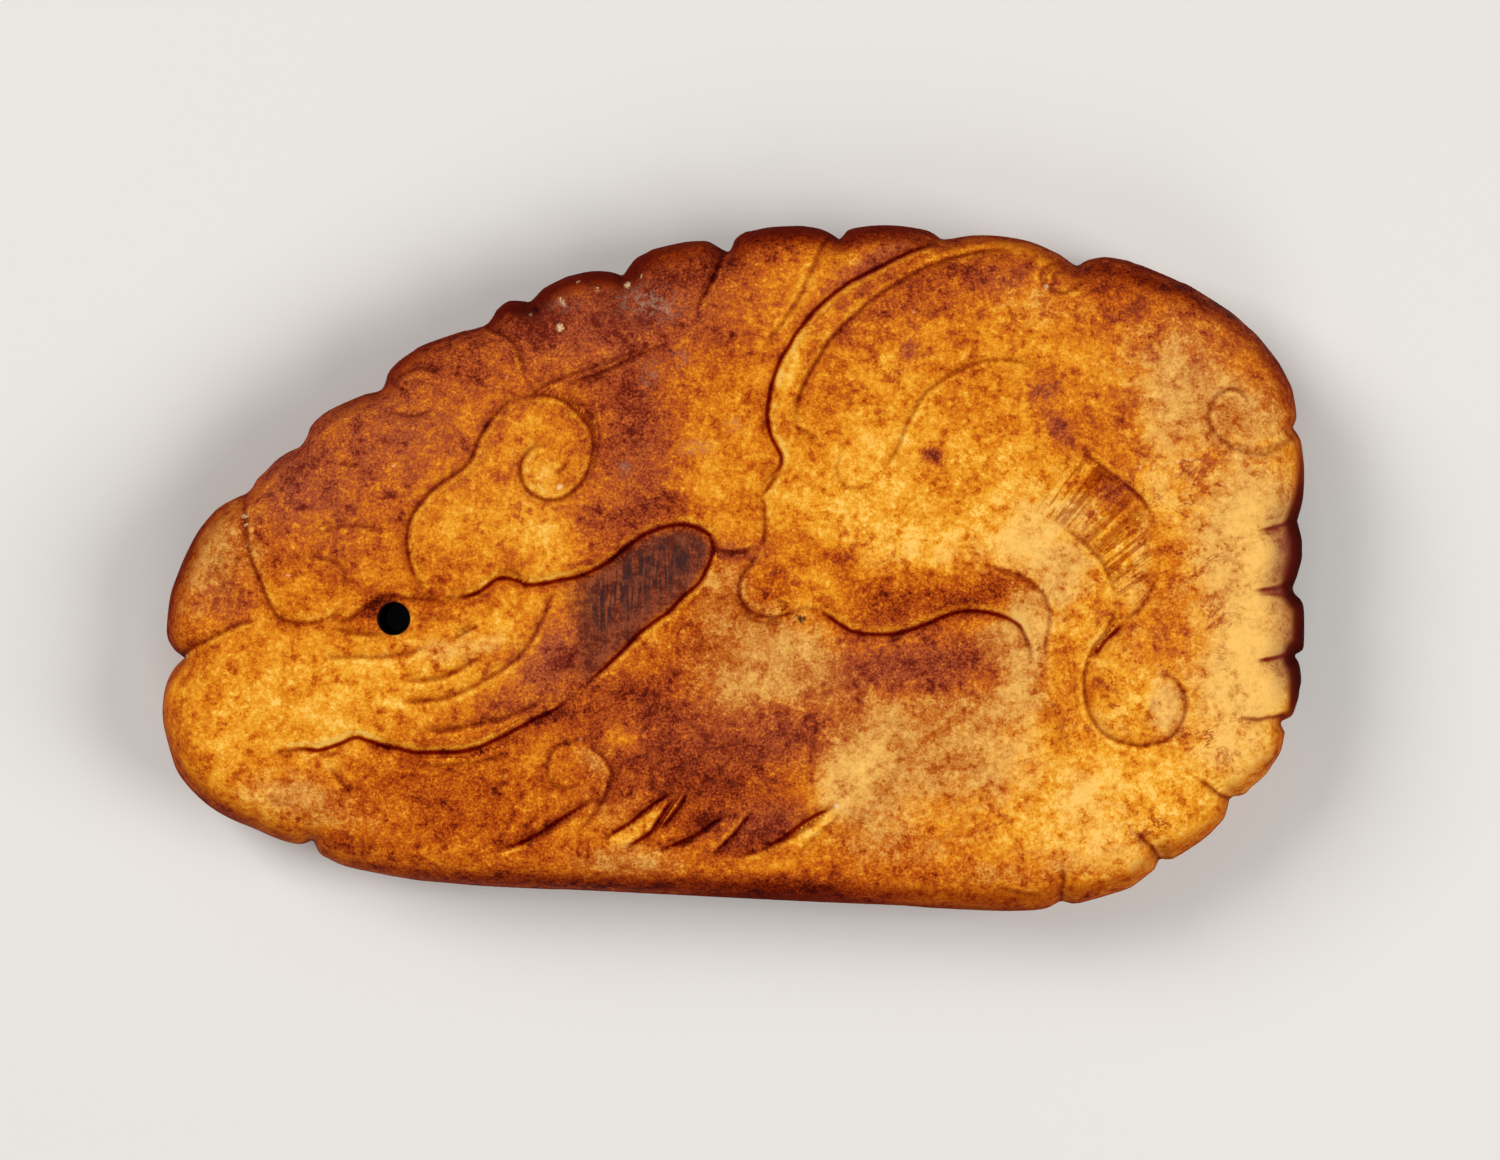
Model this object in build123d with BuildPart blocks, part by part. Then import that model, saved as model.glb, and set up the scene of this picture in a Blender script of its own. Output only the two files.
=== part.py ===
from build123d import *
import math
import os

os.makedirs("parts", exist_ok=True)

# A flat dragon carved from one piece of jade. It lies on its back: X runs along the dragon, from
# its snout to its rump, Y up across it, and Z out of its carved face. The origin is the middle
# of the flat back.

# Overall sizes, mm
LENGTH = 71.0
HEIGHT = 42.7
THICKNESS = 9.0

# How far the arched face has dropped at the two long sides, mm
SIDE_FALL = 1.2

# How far the rounded rim draws in at the back and at the face, mm
RIM_ROUND = 2.0

# The drilled hole for a cord, mm, and its place, in percent of LENGTH and of HEIGHT
HOLE_RADIUS = 1.0
HOLE_PLACE = (-29.4, -7.3)

# Carving: how deep each kind of line is below its ground, and how wide it is at its middle, mm
FINE_DEPTH = 0.2
FINE_WIDTH = 0.35
LINE_DEPTH = 0.4
LINE_WIDTH = 0.55
BOLD_DEPTH = 0.65
BOLD_WIDTH = 0.9
STRIPE_DEPTH = 0.25
STRIPE_WIDTH = 0.35

# How fast a line widens from its two points: 1 is an even wave, less is a blunter end
LINE_TAPER = 0.4

# How far each kind of sunken ground lies below the arched face, mm
LOW_GROUND = 0.5
DEEP_GROUND = 1.1

# How far cutting tools stand out of the stone, mm
CLEAR = 3.0

# The rim, anticlockwise from the right: a row for each lobe, with the points that its edge
# runs through, in percent of LENGTH and of HEIGHT. A lobe ends in a notch, where the next starts.
LOBES = [
    ("rump", [(49.4, 7.1), (49.9, 10.2), (50.0, 14.4), (49.7, 18.4), (49.0, 20.4)]),
    ("back", [(49.0, 20.4), (49.3, 22.3), (48.4, 28.0), (45.1, 35.1), (40.5, 40.6), (35.2, 44.4),
              (32.2, 45.3), (30.8, 44.9), (30.2, 43.8)]),
    ("haunch", [(30.2, 43.8), (29.1, 45.2), (26.0, 47.6), (22.1, 48.5), (18.5, 47.9)]),
    ("mane 1", [(18.5, 47.9), (16.8, 49.3), (13.3, 50.0), (10.4, 49.4), (9.3, 48.1)]),
    ("mane 2", [(9.3, 48.1), (8.0, 49.2), (5.2, 49.9), (1.6, 49.2), (0.1, 47.8), (-0.4, 46.2)]),
    ("mane 3", [(-0.4, 46.2), (-1.6, 47.2), (-3.2, 47.7), (-6.3, 46.8), (-8.6, 45.0), (-9.7, 42.7)]),
    ("mane 4", [(-9.7, 42.7), (-11.7, 43.3), (-14.2, 42.7), (-16.4, 41.0), (-17.8, 38.8)]),
    ("brow 1", [(-17.8, 38.8), (-19.1, 39.0), (-20.5, 38.0), (-21.7, 35.5)]),
    ("brow 2", [(-21.7, 35.5), (-24.2, 34.3), (-27.1, 32.6), (-29.6, 29.8), (-30.7, 26.1)]),
    ("brow 3", [(-30.7, 26.1), (-32.5, 25.2), (-35.0, 23.4), (-36.8, 20.9), (-37.8, 17.8)]),
    ("nose", [(-37.8, 17.8), (-39.6, 16.3), (-41.4, 13.6), (-42.5, 10.7)]),
    ("lip", [(-42.5, 10.7), (-44.4, 9.7), (-46.6, 6.2), (-48.4, 0.2), (-49.5, -6.8), (-48.2, -13.1)]),
    ("chin", [(-48.2, -13.1), (-49.8, -18.0), (-49.6, -25.3), (-46.9, -33.0), (-42.6, -37.5),
              (-39.0, -39.8), (-36.9, -39.2)]),
    ("belly", [(-36.9, -39.2), (-36.0, -41.5), (-33.0, -43.9), (-26.1, -45.8), (-13.3, -47.0),
               (0.0, -48.2), (14.3, -49.2), (23.5, -50.0), (27.0, -49.7), (28.6, -48.7)]),
    ("paw 1", [(28.6, -48.7), (30.4, -48.8), (34.0, -47.1), (36.4, -44.7), (37.3, -42.5)]),
    ("paw 2", [(37.3, -42.5), (38.6, -42.3), (41.3, -39.5), (43.2, -35.8), (43.5, -33.7)]),
    ("paw 3", [(43.5, -33.7), (45.4, -32.0), (47.5, -28.1), (48.3, -24.4), (48.0, -22.6)]),
    ("tail 1", [(48.0, -22.6), (49.2, -20.5), (49.7, -16.3), (49.2, -12.7)]),
    ("tail 2", [(49.2, -12.7), (49.9, -10.6), (50.0, -7.3), (49.3, -2.2)]),
    ("tail 3", [(49.3, -2.2), (49.8, 2.0), (49.4, 7.1)]),
]

# The rim's profile, from the back up: a row for each section, with its height as a share of
# THICKNESS and how far it draws in as a share of RIM_ROUND.
RIM_PROFILE = [
    (0.00, 1.00),
    (0.10, 0.42),
    (0.27, 0.08),
    (0.47, 0.00),
    (0.67, 0.16),
    (0.84, 0.62),
    (1.02, 1.50),
]

# Carved lines: a row for each, with its kind, the ground that it is cut into, and the points that
# it runs through, in percent of LENGTH and of HEIGHT. A line comes to a point at both ends.
LINES = [
    ("snout edge", "bold", "face", [(-43.0, 12.5), (-42.3, 7.0), (-41.6, 1.5), (-40.4, -4.0), (-38.8, -7.4),
                            (-36.5, -7.9), (-34.6, -7.0), (-33.8, -4.4)]),
    ("lower lip", "line", "face", [(-49.0, -13.8), (-46.6, -11.3), (-43.0, -8.4), (-40.2, -7.2)]),
    ("nostril", "line", "face", [(-37.9, -0.2), (-36.8, 1.4), (-35.0, 1.1), (-33.7, -0.6), (-33.7, -3.6)]),
    ("mouth corner", "line", "face", [(-35.4, -8.8), (-33.2, -9.3), (-31.3, -9.6), (-29.6, -9.6)]),
    ("cheek", "fine", "face", [(-36.4, 4.5), (-34.3, 5.8), (-31.8, 5.9), (-29.4, 4.9)]),
    ("jaw fold 1", "fine", "face", [(-35.8, -12.8), (-32.3, -12.8), (-29.1, -12.5), (-26.0, -11.3)]),
    ("jaw fold 2", "line", "face", [(-28.7, -16.1), (-25.8, -16.0), (-23.5, -14.5), (-21.4, -12.8)]),
    ("jaw fold 3", "bold", "face", [(-29.2, -18.9), (-26.4, -19.1), (-22.3, -17.0), (-19.0, -13.5),
                            (-16.9, -8.6), (-16.2, -5.4), (-15.1, -3.8)]),
    ("jaw fold 4", "line", "face", [(-27.3, -23.3), (-23.4, -23.0), (-19.0, -21.2), (-15.5, -18.3)]),
    ("jaw edge", "bold", "face", [(-38.5, -26.1), (-35.4, -26.0), (-32.8, -24.5), (-29.0, -26.0),
                          (-25.0, -26.6), (-21.3, -25.2), (-17.5, -22.0), (-14.0, -18.5)]),
    ("chin fold", "line", "low", [(-35.4, -28.2), (-34.1, -30.8), (-33.5, -33.6)]),
    ("throat", "line", "low", [(-27.3, -28.2), (-24.3, -28.3), (-21.3, -27.5), (-17.6, -25.6)]),
    ("brow crease", "bold", "face", [(-22.0, 36.2), (-20.6, 33.8), (-18.9, 31.8), (-18.1, 27.2)]),
    ("brow curl", "line", "face", [(-36.9, 18.2), (-35.0, 20.9), (-33.2, 22.3), (-31.0, 23.3)]),
    ("temple curl", "line", "face", [(-29.6, 22.8), (-27.9, 21.9), (-26.1, 23.0), (-25.2, 25.6),
                             (-26.4, 28.4), (-28.4, 28.1)]),
    ("eye edge", "bold", "face", [(-26.4, -3.6), (-28.1, 1.5), (-27.8, 7.3), (-25.4, 12.0), (-22.8, 15.6),
                          (-21.3, 20.3), (-18.7, 24.6), (-15.4, 24.7), (-13.0, 22.0), (-12.2, 17.0),
                          (-13.3, 11.9), (-15.5, 9.8), (-17.6, 10.9), (-18.3, 14.0), (-17.0, 17.3),
                          (-15.6, 16.8)]),
    ("crest line", "line", "face", [(-18.4, 25.2), (-14.6, 26.8), (-11.0, 28.9), (-6.6, 31.8)]),
    ("eye foot", "bold", "face", [(-26.0, -4.0), (-23.5, -4.3), (-20.6, -1.8), (-17.6, -2.4), (-13.4, -1.2),
                          (-10.0, 1.9)]),
    ("mane crease 1", "line", "face", [(-18.1, 39.4), (-17.3, 37.6), (-16.5, 35.9)]),
    ("mane crease 2", "line", "face", [(-0.4, 47.0), (-1.3, 43.6), (-2.4, 39.7), (-3.4, 36.2)]),
    ("mane crease 3", "line", "face", [(9.1, 48.9), (7.4, 45.4), (6.0, 40.2), (4.0, 34.9), (2.3, 31.2)]),
    ("band outside", "bold", "face", [(19.0, 48.6), (15.3, 45.6), (10.2, 41.2), (6.3, 35.6), (4.2, 30.2),
                              (3.1, 23.6), (3.2, 19.6), (4.2, 15.6), (2.3, 10.9), (2.8, 6.6),
                              (1.8, 1.2)]),
    ("band inside", "bold", "face", [(5.3, 20.3), (5.8, 25.2), (7.2, 29.8), (9.2, 34.4), (12.4, 39.1),
                             (16.8, 43.4), (21.2, 45.6), (25.2, 45.6)]),
    ("back curl", "line", "face", [(26.7, 44.3), (28.7, 44.3), (30.1, 42.2), (29.4, 40.0), (27.5, 39.7),
                           (26.4, 41.6)]),
    ("haunch arc", "line", "face", [(15.4, 21.8), (17.5, 26.2), (20.7, 29.2), (25.3, 29.4)]),
    ("flank curl", "fine", "face", [(10.5, 16.4), (9.1, 14.6), (9.4, 12.3), (11.2, 11.7)]),
    ("tail curl", "bold", "face", [(49.4, 20.0), (47.2, 17.4), (44.9, 16.6), (42.4, 18.4), (41.2, 22.2),
                           (42.6, 25.4), (44.1, 24.8), (44.6, 22.6)]),
    ("rump cut", "line", "face", [(50.0, 7.0), (48.1, 6.5), (46.2, 5.5), (44.9, 5.1)]),
    ("tail cut 1", "line", "face", [(50.0, -2.6), (47.6, -3.0), (45.8, -3.4), (44.6, -3.6)]),
    ("tail cut 2", "line", "face", [(49.8, -12.6), (47.7, -12.8), (45.9, -13.2), (44.4, -13.4)]),
    ("paw cut 3", "line", "face", [(48.7, -22.3), (46.8, -21.6), (45.0, -21.6), (43.2, -21.4)]),
    ("paw cut 2", "line", "face", [(44.0, -34.2), (42.0, -32.5), (40.8, -31.0), (39.6, -29.0)]),
    ("paw cut 1", "line", "face", [(37.7, -43.2), (36.3, -40.4), (35.4, -38.7), (34.4, -37.0)]),
    ("strap end", "fine", "face", [(28.7, -49.4), (28.6, -46.4), (28.6, -43.6), (28.1, -41.6)]),
    ("toe curl", "line", "face", [(29.0, -41.6), (29.9, -40.3), (31.1, -40.6), (31.3, -42.0),
                                  (30.3, -42.9)]),
    ("strap line", "line", "low", [(25.4, -37.8), (23.3, -41.4), (20.6, -44.8), (17.6, -47.0)]),
    ("leg under", "line", "face", [(21.4, 0.6), (24.1, -0.7), (26.6, -3.1), (27.5, -7.4), (27.0, -12.4)]),
    ("tuft outside", "bold", "face", [(25.5, 7.5), (27.0, 11.2), (28.3, 15.0), (30.4, 16.3), (32.7, 13.6),
                              (35.2, 10.2), (36.4, 6.0), (36.9, 1.2), (36.2, -3.4), (33.8, -7.9),
                              (31.4, -12.1), (30.4, -17.4), (31.6, -23.0), (35.1, -25.6),
                              (38.2, -23.9), (39.2, -19.4), (38.0, -15.8), (36.1, -15.3)]),
    ("tuft inside", "line", "low", [(28.4, 5.8), (30.4, 3.6), (32.0, 0.4), (32.9, -4.2), (32.5, -8.4),
                             (30.9, -12.2)]),
    ("belly line", "bold", "face", [(2.2, 2.4), (0.7, -1.6), (0.8, -5.0), (2.7, -7.0), (5.6, -5.8),
                            (8.4, -7.2), (11.2, -9.4), (14.4, -9.4), (17.7, -7.4), (20.8, -6.2),
                            (23.8, -7.3), (25.4, -10.4), (25.9, -14.4)]),
    ("throat curl", "line", "low", [(-13.4, -29.9), (-14.6, -31.7), (-16.1, -29.2), (-15.1, -25.7),
                             (-12.5, -25.6), (-10.6, -29.0), (-11.2, -33.2), (-13.8, -38.4)]),
    ("mane lock 1", "bold", "low", [(-11.7, -33.0), (-14.3, -35.7), (-17.5, -39.0), (-20.8, -41.0)]),
    ("mane lock 2", "line", "low", [(-4.8, -32.0), (-7.1, -34.5), (-9.4, -37.3), (-11.5, -39.4)]),
    ("mane lock 3", "bold", "low", [(-4.4, -32.2), (-5.9, -35.6), (-7.4, -38.4), (-9.8, -40.6)]),
    ("mane lock 4", "line", "low", [(0.0, -35.4), (-2.3, -37.6), (-4.7, -39.7), (-6.9, -40.8)]),
    ("mane lock 5", "bold", "low", [(1.8, -34.6), (0.5, -37.6), (-0.9, -40.2), (-2.1, -41.8)]),
    ("mane lock 6", "bold", "low", [(7.7, -35.4), (5.2, -38.0), (2.6, -40.5), (-0.2, -42.3)]),
    ("mane lock 7", "line", "low", [(9.9, -34.4), (8.0, -37.5), (6.4, -39.8), (4.9, -41.9)]),
    ("strand 1", "line", "face", [(-23.2, -39.0), (-25.9, -40.1), (-30.1, -40.3), (-33.8, -39.1),
                          (-36.5, -39.9)]),
    ("strand 2", "fine", "low", [(-18.8, -34.8), (-19.6, -37.2), (-20.4, -39.8)]),
    ("feather 1", "fine", "low", [(-6.0, -17.2), (-6.8, -19.0), (-6.3, -20.8), (-5.0, -21.6)]),
    ("feather 2", "fine", "low", [(1.6, -18.0), (1.9, -20.2), (1.2, -23.2)]),
    ("feather 3", "fine", "low", [(6.6, -21.0), (7.4, -23.8), (6.6, -27.2), (4.2, -33.4)]),
    ("feather 4", "fine", "low", [(12.5, -24.6), (13.6, -22.4), (14.8, -25.0), (13.7, -30.4),
                           (11.4, -35.7), (7.2, -41.0)]),
    ("feather 5", "fine", "low", [(20.0, -24.6), (21.3, -22.9), (22.8, -26.6), (21.6, -33.0),
                           (18.3, -38.8), (14.6, -42.5)]),
]

# Sunken fields: a row for each, with its ground and the points that its edge runs through, in
# percent of LENGTH and of HEIGHT.
FIELDS = [
    ("lip hollow", "low", [(-42.6, 9.8), (-41.8, 2.0), (-40.4, -4.0), (-38.9, -7.4), (-42.6, -8.4),
                           (-46.6, -11.4), (-51.5, -15.0), (-53.5, -5.0), (-51.0, 5.0),
                           (-46.5, 11.5)]),
    ("mouth hollow", "deep", [(-34.6, -8.4), (-33.2, -5.8), (-30.9, -4.2), (-27.8, -4.3),
                              (-25.2, -5.2), (-26.1, -7.6), (-27.5, -9.9), (-29.6, -10.7),
                              (-32.2, -10.0)]),
    ("tongue", "deep", [(-13.4, -1.2), (-10.0, 1.9), (-7.5, 4.8), (-4.6, 6.0), (-2.3, 4.8),
                        (-1.9, 1.6), (-3.6, -3.4), (-6.9, -7.9), (-10.0, -12.7), (-13.4, -17.7),
                        (-13.0, -11.6), (-12.4, -7.4), (-13.2, -4.6)]),
    ("tuft", "low", [(25.9, 7.9), (27.2, 11.4), (28.5, 14.8), (30.3, 15.9), (32.6, 13.3),
                     (34.9, 10.3), (36.0, 6.0), (36.5, 1.2), (35.9, -3.2), (33.6, -6.4),
                     (32.9, -3.0), (31.6, 1.2), (29.3, 4.9)]),
    ("mane", "low", [(-0.9, 2.6), (0.2, -1.6), (0.2, -5.4), (2.7, -7.4), (5.6, -6.2), (8.4, -7.6),
                     (11.2, -9.8), (14.4, -9.8), (17.7, -7.8), (20.8, -6.6), (23.8, -7.7),
                     (25.4, -10.8), (26.3, -14.8), (28.3, -18.6), (29.2, -24.2), (28.2, -32.2),
                     (25.0, -38.8), (20.5, -43.6), (15.0, -44.8), (3.0, -43.4), (-10.0, -42.2),
                     (-22.0, -41.6), (-29.5, -39.7), (-33.0, -36.2), (-33.2, -30.6), (-31.2, -26.0),
                     (-25.0, -27.0), (-19.5, -24.4), (-14.0, -19.0), (-9.8, -13.2), (-6.5, -8.2),
                     (-3.3, -3.6), (-1.6, 0.6)]),
    ("mane pocket 1", "deep", [(-4.5, -32.9), (-1.2, -35.6), (-3.6, -38.2), (-6.6, -40.0),
                               (-5.8, -36.4)]),
    ("mane pocket 2", "deep", [(1.8, -35.2), (4.4, -35.0), (6.8, -35.8), (4.2, -38.8),
                               (-0.8, -41.6), (0.5, -38.2)]),
]

# Stripes of the tongue and of the tuft: a row for each group, with its ground, its first and its
# last stripe, each as two ends in percent of LENGTH and of HEIGHT, and the count.
STRIPES = [
    ("tongue", "deep", [(-11.6, -1.6), (-10.9, -12.0)], [(-4.6, 4.2), (-4.4, -2.8)], 7),
    ("tuft top", "low", [(27.2, 9.2), (28.9, 14.2)], [(30.6, 6.0), (34.0, 9.6)], 5),
    ("tuft foot", "low", [(33.2, 0.6), (35.9, 3.0)], [(33.5, -4.2), (35.7, -2.2)], 4),
]

# Each kind of line with its depth and width, and each ground with its depth
CUTS = {
    "fine": (FINE_DEPTH, FINE_WIDTH),
    "line": (LINE_DEPTH, LINE_WIDTH),
    "bold": (BOLD_DEPTH, BOLD_WIDTH),
    "stripe": (STRIPE_DEPTH, STRIPE_WIDTH),
}
GROUNDS = {"face": 0.0, "low": LOW_GROUND, "deep": DEEP_GROUND}


def spot(point):
    """A point of a table, from percent of LENGTH and HEIGHT to millimetres."""
    across, up = point
    return (across / 100 * LENGTH, up / 100 * HEIGHT)


def rim_section(level, inset):
    """The scalloped outline at one height, drawn in towards the middle by the inset."""
    along = 1 - 2 * inset / LENGTH
    aside = 1 - 2 * inset / HEIGHT
    with BuildSketch(Plane.XY.offset(level)) as section:
        with BuildLine():
            for _, edge in LOBES:
                Spline(*[(x * along, y * aside) for x, y in map(spot, edge)])
        make_face()
    return section.sketch


def under_arch(top):
    """Everything under the arched face whose middle line is at this height.

    The arch runs across the stone, so that the face falls by SIDE_FALL at the long sides.
    """
    radius = (HEIGHT ** 2 / 4 + SIDE_FALL ** 2) / (2 * SIDE_FALL)
    reach = HEIGHT / 2 + CLEAR
    drop = radius - math.sqrt(radius ** 2 - reach ** 2)
    with BuildPart() as arch:
        with BuildSketch(Plane.YZ):
            with BuildLine():
                ThreePointArc((-reach, top - drop), (0, top), (reach, top - drop))
                Polyline((reach, top - drop), (reach, -CLEAR), (-reach, -CLEAR), (-reach, top - drop))
            make_face()
        extrude(amount=LENGTH / 2 + 2 * CLEAR, both=True)
    return arch.part


def leaf(points, width):
    """The outline of a carved line: two curves that part at one end and meet at the other.

    Each point moves out sideways from the line by half the width, less near the two ends.
    """
    count = len(points)
    left = [points[0]]
    right = [points[0]]
    for index in range(1, count - 1):
        (x0, y0), (x, y), (x1, y1) = points[index - 1:index + 2]
        run = math.hypot(x1 - x0, y1 - y0)
        half = width / 2 * math.sin(math.pi * index / (count - 1)) ** LINE_TAPER
        side = (-(y1 - y0) / run * half, (x1 - x0) / run * half)
        left.append((x + side[0], y + side[1]))
        right.append((x - side[0], y - side[1]))
    left.append(points[-1])
    right.append(points[-1])
    with BuildSketch() as outline:
        with BuildLine():
            Spline(*left)
            Spline(*right)
        make_face()
    return outline.sketch


def field(points):
    """The closed outline of a sunken field."""
    with BuildSketch() as outline:
        with BuildLine():
            Spline(*points, periodic=True)
        make_face()
    return outline.sketch


def stripe_rows():
    """The stripes as rows of carved lines, spread evenly from the first to the last."""
    rows = []
    for name, ground, first, last, count in STRIPES:
        for index in range(count):
            share = index / (count - 1)
            (x0, y0), (x1, y1) = [
                (start[0] + (stop[0] - start[0]) * share, start[1] + (stop[1] - start[1]) * share)
                for start, stop in zip(first, last)
            ]
            path = [(x0, y0), ((x0 + x1) / 2, (y0 + y1) / 2), (x1, y1)]
            rows.append((f"{name} stripe {index + 1}", "stripe", ground, path))
    return rows


def carving_tool(outlines, depth):
    """Cuts with upright sides, whose floor lies this far below the arched face."""
    with BuildPart() as tool:
        for outline in outlines:
            extrude(outline, amount=THICKNESS + CLEAR)
        add(under_arch(THICKNESS - depth), mode=Mode.SUBTRACT)
    return tool.part


tools = []
for ground, fall in GROUNDS.items():
    edges = [field([spot(p) for p in edge]) for _, own, edge in FIELDS if own == ground]
    if edges:
        tools.append(carving_tool(edges, fall))
    for kind, (depth, width) in CUTS.items():
        rows = [row for row in LINES + stripe_rows() if row[1:3] == (kind, ground)]
        if rows:
            paths = [leaf([spot(p) for p in row[3]], width) for row in rows]
            tools.append(carving_tool(paths, fall + depth))

with BuildPart() as pendant:
    loft(sections=[rim_section(level * THICKNESS, inset * RIM_ROUND) for level, inset in RIM_PROFILE])
    add(under_arch(THICKNESS), mode=Mode.INTERSECT)
    for tool in tools:
        add(tool, mode=Mode.SUBTRACT)
    with Locations(spot(HOLE_PLACE)):
        Hole(HOLE_RADIUS)

pendant.part.label = "pendant"
export_step(pendant.part, "parts/pendant.step")
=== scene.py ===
import math

import bpy
import numpy as np
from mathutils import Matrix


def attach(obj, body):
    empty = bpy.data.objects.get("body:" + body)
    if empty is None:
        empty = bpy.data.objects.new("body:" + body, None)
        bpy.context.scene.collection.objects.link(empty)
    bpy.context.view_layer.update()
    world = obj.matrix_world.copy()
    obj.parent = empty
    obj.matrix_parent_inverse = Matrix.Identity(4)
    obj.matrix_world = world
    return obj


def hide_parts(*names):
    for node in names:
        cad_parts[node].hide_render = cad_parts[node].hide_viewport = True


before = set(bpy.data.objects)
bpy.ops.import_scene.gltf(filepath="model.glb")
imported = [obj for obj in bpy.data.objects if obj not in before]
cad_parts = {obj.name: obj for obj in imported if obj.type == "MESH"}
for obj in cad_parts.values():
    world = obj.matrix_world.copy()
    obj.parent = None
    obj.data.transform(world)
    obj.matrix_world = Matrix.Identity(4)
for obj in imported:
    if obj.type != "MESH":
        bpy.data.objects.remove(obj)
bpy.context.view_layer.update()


# The rim. The stone is a flat river-worn pebble of amber jade, cut to the outline of a coiled
# dragon: twenty lobes with a nick between each two, all rounded over and polished by hand.
# Tables give places in percent of the length and of the height; everything else is in mm.

LENGTH, HEIGHT = 71.0, 42.7
RIM_STEP = 0.12
WAIST = 4.2  # height of the widest place of the side
ROUND_OVER = 3.0  # how far in from the rim the face is rounded
ROUNDNESS = 2.3  # 2 would round it as a quarter of an ellipse, and more is fuller
DRAW_IN = 2.0  # how much smaller the back is all round
CROWN = 8.72  # height of the uncut face along the middle
ARCH = 190.5  # radius of the face's arch

# The lobes, anticlockwise from the right end, each from nick to nick.
RIM = [
    [(49.4, 6.8), (49.9, 10.2), (50, 14.4), (49.8, 17.6), (49.7, 18.6), (49.3, 19.8), (49, 20.4)],
    [(49, 20.4), (49.3, 21.6), (49.3, 22.9), (49.05, 25.4), (48.8, 26.7), (48, 29.3), (47.4, 30.8),
     (45.9, 33.9), (45.1, 35.1), (43.6, 37.3), (41.3, 39.8), (39.8, 41.3), (39, 41.8), (38.3, 42.4),
     (36, 44), (35.2, 44.4), (34.5, 44.85), (33, 45.3), (32.2, 45.3), (31.3, 45), (30.7, 44.6),
     (30.2, 43.95)],
    [(30.2, 43.95), (29.5, 44.6), (29.1, 45.15), (28.2, 46.06), (26, 47.6), (23.4, 48.4), (21, 48.5),
     (19, 48), (18.2, 47.9)],
    [(18.2, 47.9), (17.7, 48.6), (17, 49.2), (15.9, 49.6), (14.6, 49.9), (13.3, 50), (12, 49.9),
     (10.7, 49.6), (10, 49.2), (9.7, 48.6), (9.3, 47.9)],
    [(9.3, 47.9), (8.5, 48.8), (7.6, 49.45), (6.5, 49.8), (5.4, 49.9), (3.2, 49.7), (1.7, 49.2), (1, 48.95),
     (0.2, 48), (-0.13, 46.8), (-0.4, 46)],
    [(-0.4, 46), (-0.9, 46.4), (-1.76, 47.25), (-2.2, 47.6), (-2.9, 47.7), (-4.4, 47.5), (-6.8, 46.6),
     (-7.6, 46), (-8.4, 45.3), (-8.9, 44.5), (-9.7, 42.6)],
    [(-9.7, 42.6), (-10.9, 43.2), (-12.5, 43.26), (-14.15, 42.7), (-15, 42.2), (-16.6, 40.8), (-17.5, 39.3),
     (-17.9, 38.7)],
    [(-17.9, 38.7), (-18.4, 38.9), (-19.7, 38.9), (-20.7, 37.7), (-21.2, 36.3), (-21.7, 35.4)],
    [(-21.7, 35.4), (-22.9, 34.8), (-24.2, 34.3), (-27.1, 32.6), (-28.3, 31.4), (-29.4, 30.1),
     (-30.2, 28.6), (-30.5, 27.1), (-30.75, 26)],
    [(-30.75, 26), (-31.2, 25.7), (-32.5, 25.2), (-35, 23.4), (-36.3, 22), (-37.1, 20.5), (-37.3, 19.3),
     (-37.9, 17.7)],
    [(-37.9, 17.7), (-39, 16.9), (-40, 15.8), (-41, 14.1), (-41.7, 13), (-42.2, 11.6), (-42.7, 10.8)],
    [(-42.7, 10.8), (-43.5, 10.3), (-45, 8.95), (-46, 7.3), (-47, 5.1), (-48, 1.9), (-48.7, -0.9),
     (-49.3, -3.8), (-49.6, -7.5), (-49.6, -10), (-49, -11.9), (-48.1, -13.1)],
    [(-48.1, -13.1), (-49, -14.6), (-49.7, -17), (-50, -20), (-49.9, -23), (-49.2, -27.5), (-48.6, -30),
     (-47.3, -32.7), (-45.7, -35), (-43.9, -36.7), (-42, -38), (-40, -39.45), (-38.5, -40.2),
     (-37.6, -40.15), (-36.85, -39.6)],
    [(-36.85, -39.6), (-36.6, -40.5), (-36.3, -41.5), (-35.75, -42.2), (-34, -43.5), (-31, -44.6),
     (-27.9, -45.5), (-26.1, -45.8), (-21.8, -46.4), (-16.3, -46.85), (-13.3, -47), (5.8, -48.6),
     (14.3, -49.2), (17.6, -49.6), (22.7, -50), (25.2, -50), (26.9, -49.8), (27.9, -49.3), (28.66, -48.5)],
    [(28.66, -48.5), (29.6, -48.9), (30.2, -48.9), (31, -48.6), (32.9, -47.7), (34.8, -46.6), (36.3, -44.8),
     (36.9, -43.9), (37.2, -42.9), (37.3, -42.3)],
    [(37.3, -42.3), (38.2, -42.5), (39, -42), (40.7, -40.2), (41.7, -38.9), (42.4, -37.7), (43, -36.5),
     (43.3, -35.1), (43.5, -33.4)],
    [(43.5, -33.4), (44.7, -33.05), (45.3, -32.1), (46.6, -30.2), (47.1, -29), (47.6, -27.8), (48, -26.5),
     (48.2, -24.9), (48.3, -23.9), (48.06, -23.1), (47.9, -22.4)],
    [(47.9, -22.4), (48.85, -21.65), (49.2, -20.5), (49.5, -18.9), (49.6, -17.6), (49.75, -16.3),
     (49.56, -13.9), (49.1, -12.7)],
    [(49.1, -12.7), (49.7, -12.2), (49.95, -11.6), (50, -9.7), (50, -6.9), (49.9, -5.3), (49.6, -4.4),
     (49.2, -3.8), (49, -3), (49.15, -2.2)],
    [(49.15, -2.2), (49.4, -1.1), (49.8, 1.4), (49.8, 2.7), (49.8, 4.1), (49.4, 6.8)],
]


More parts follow.
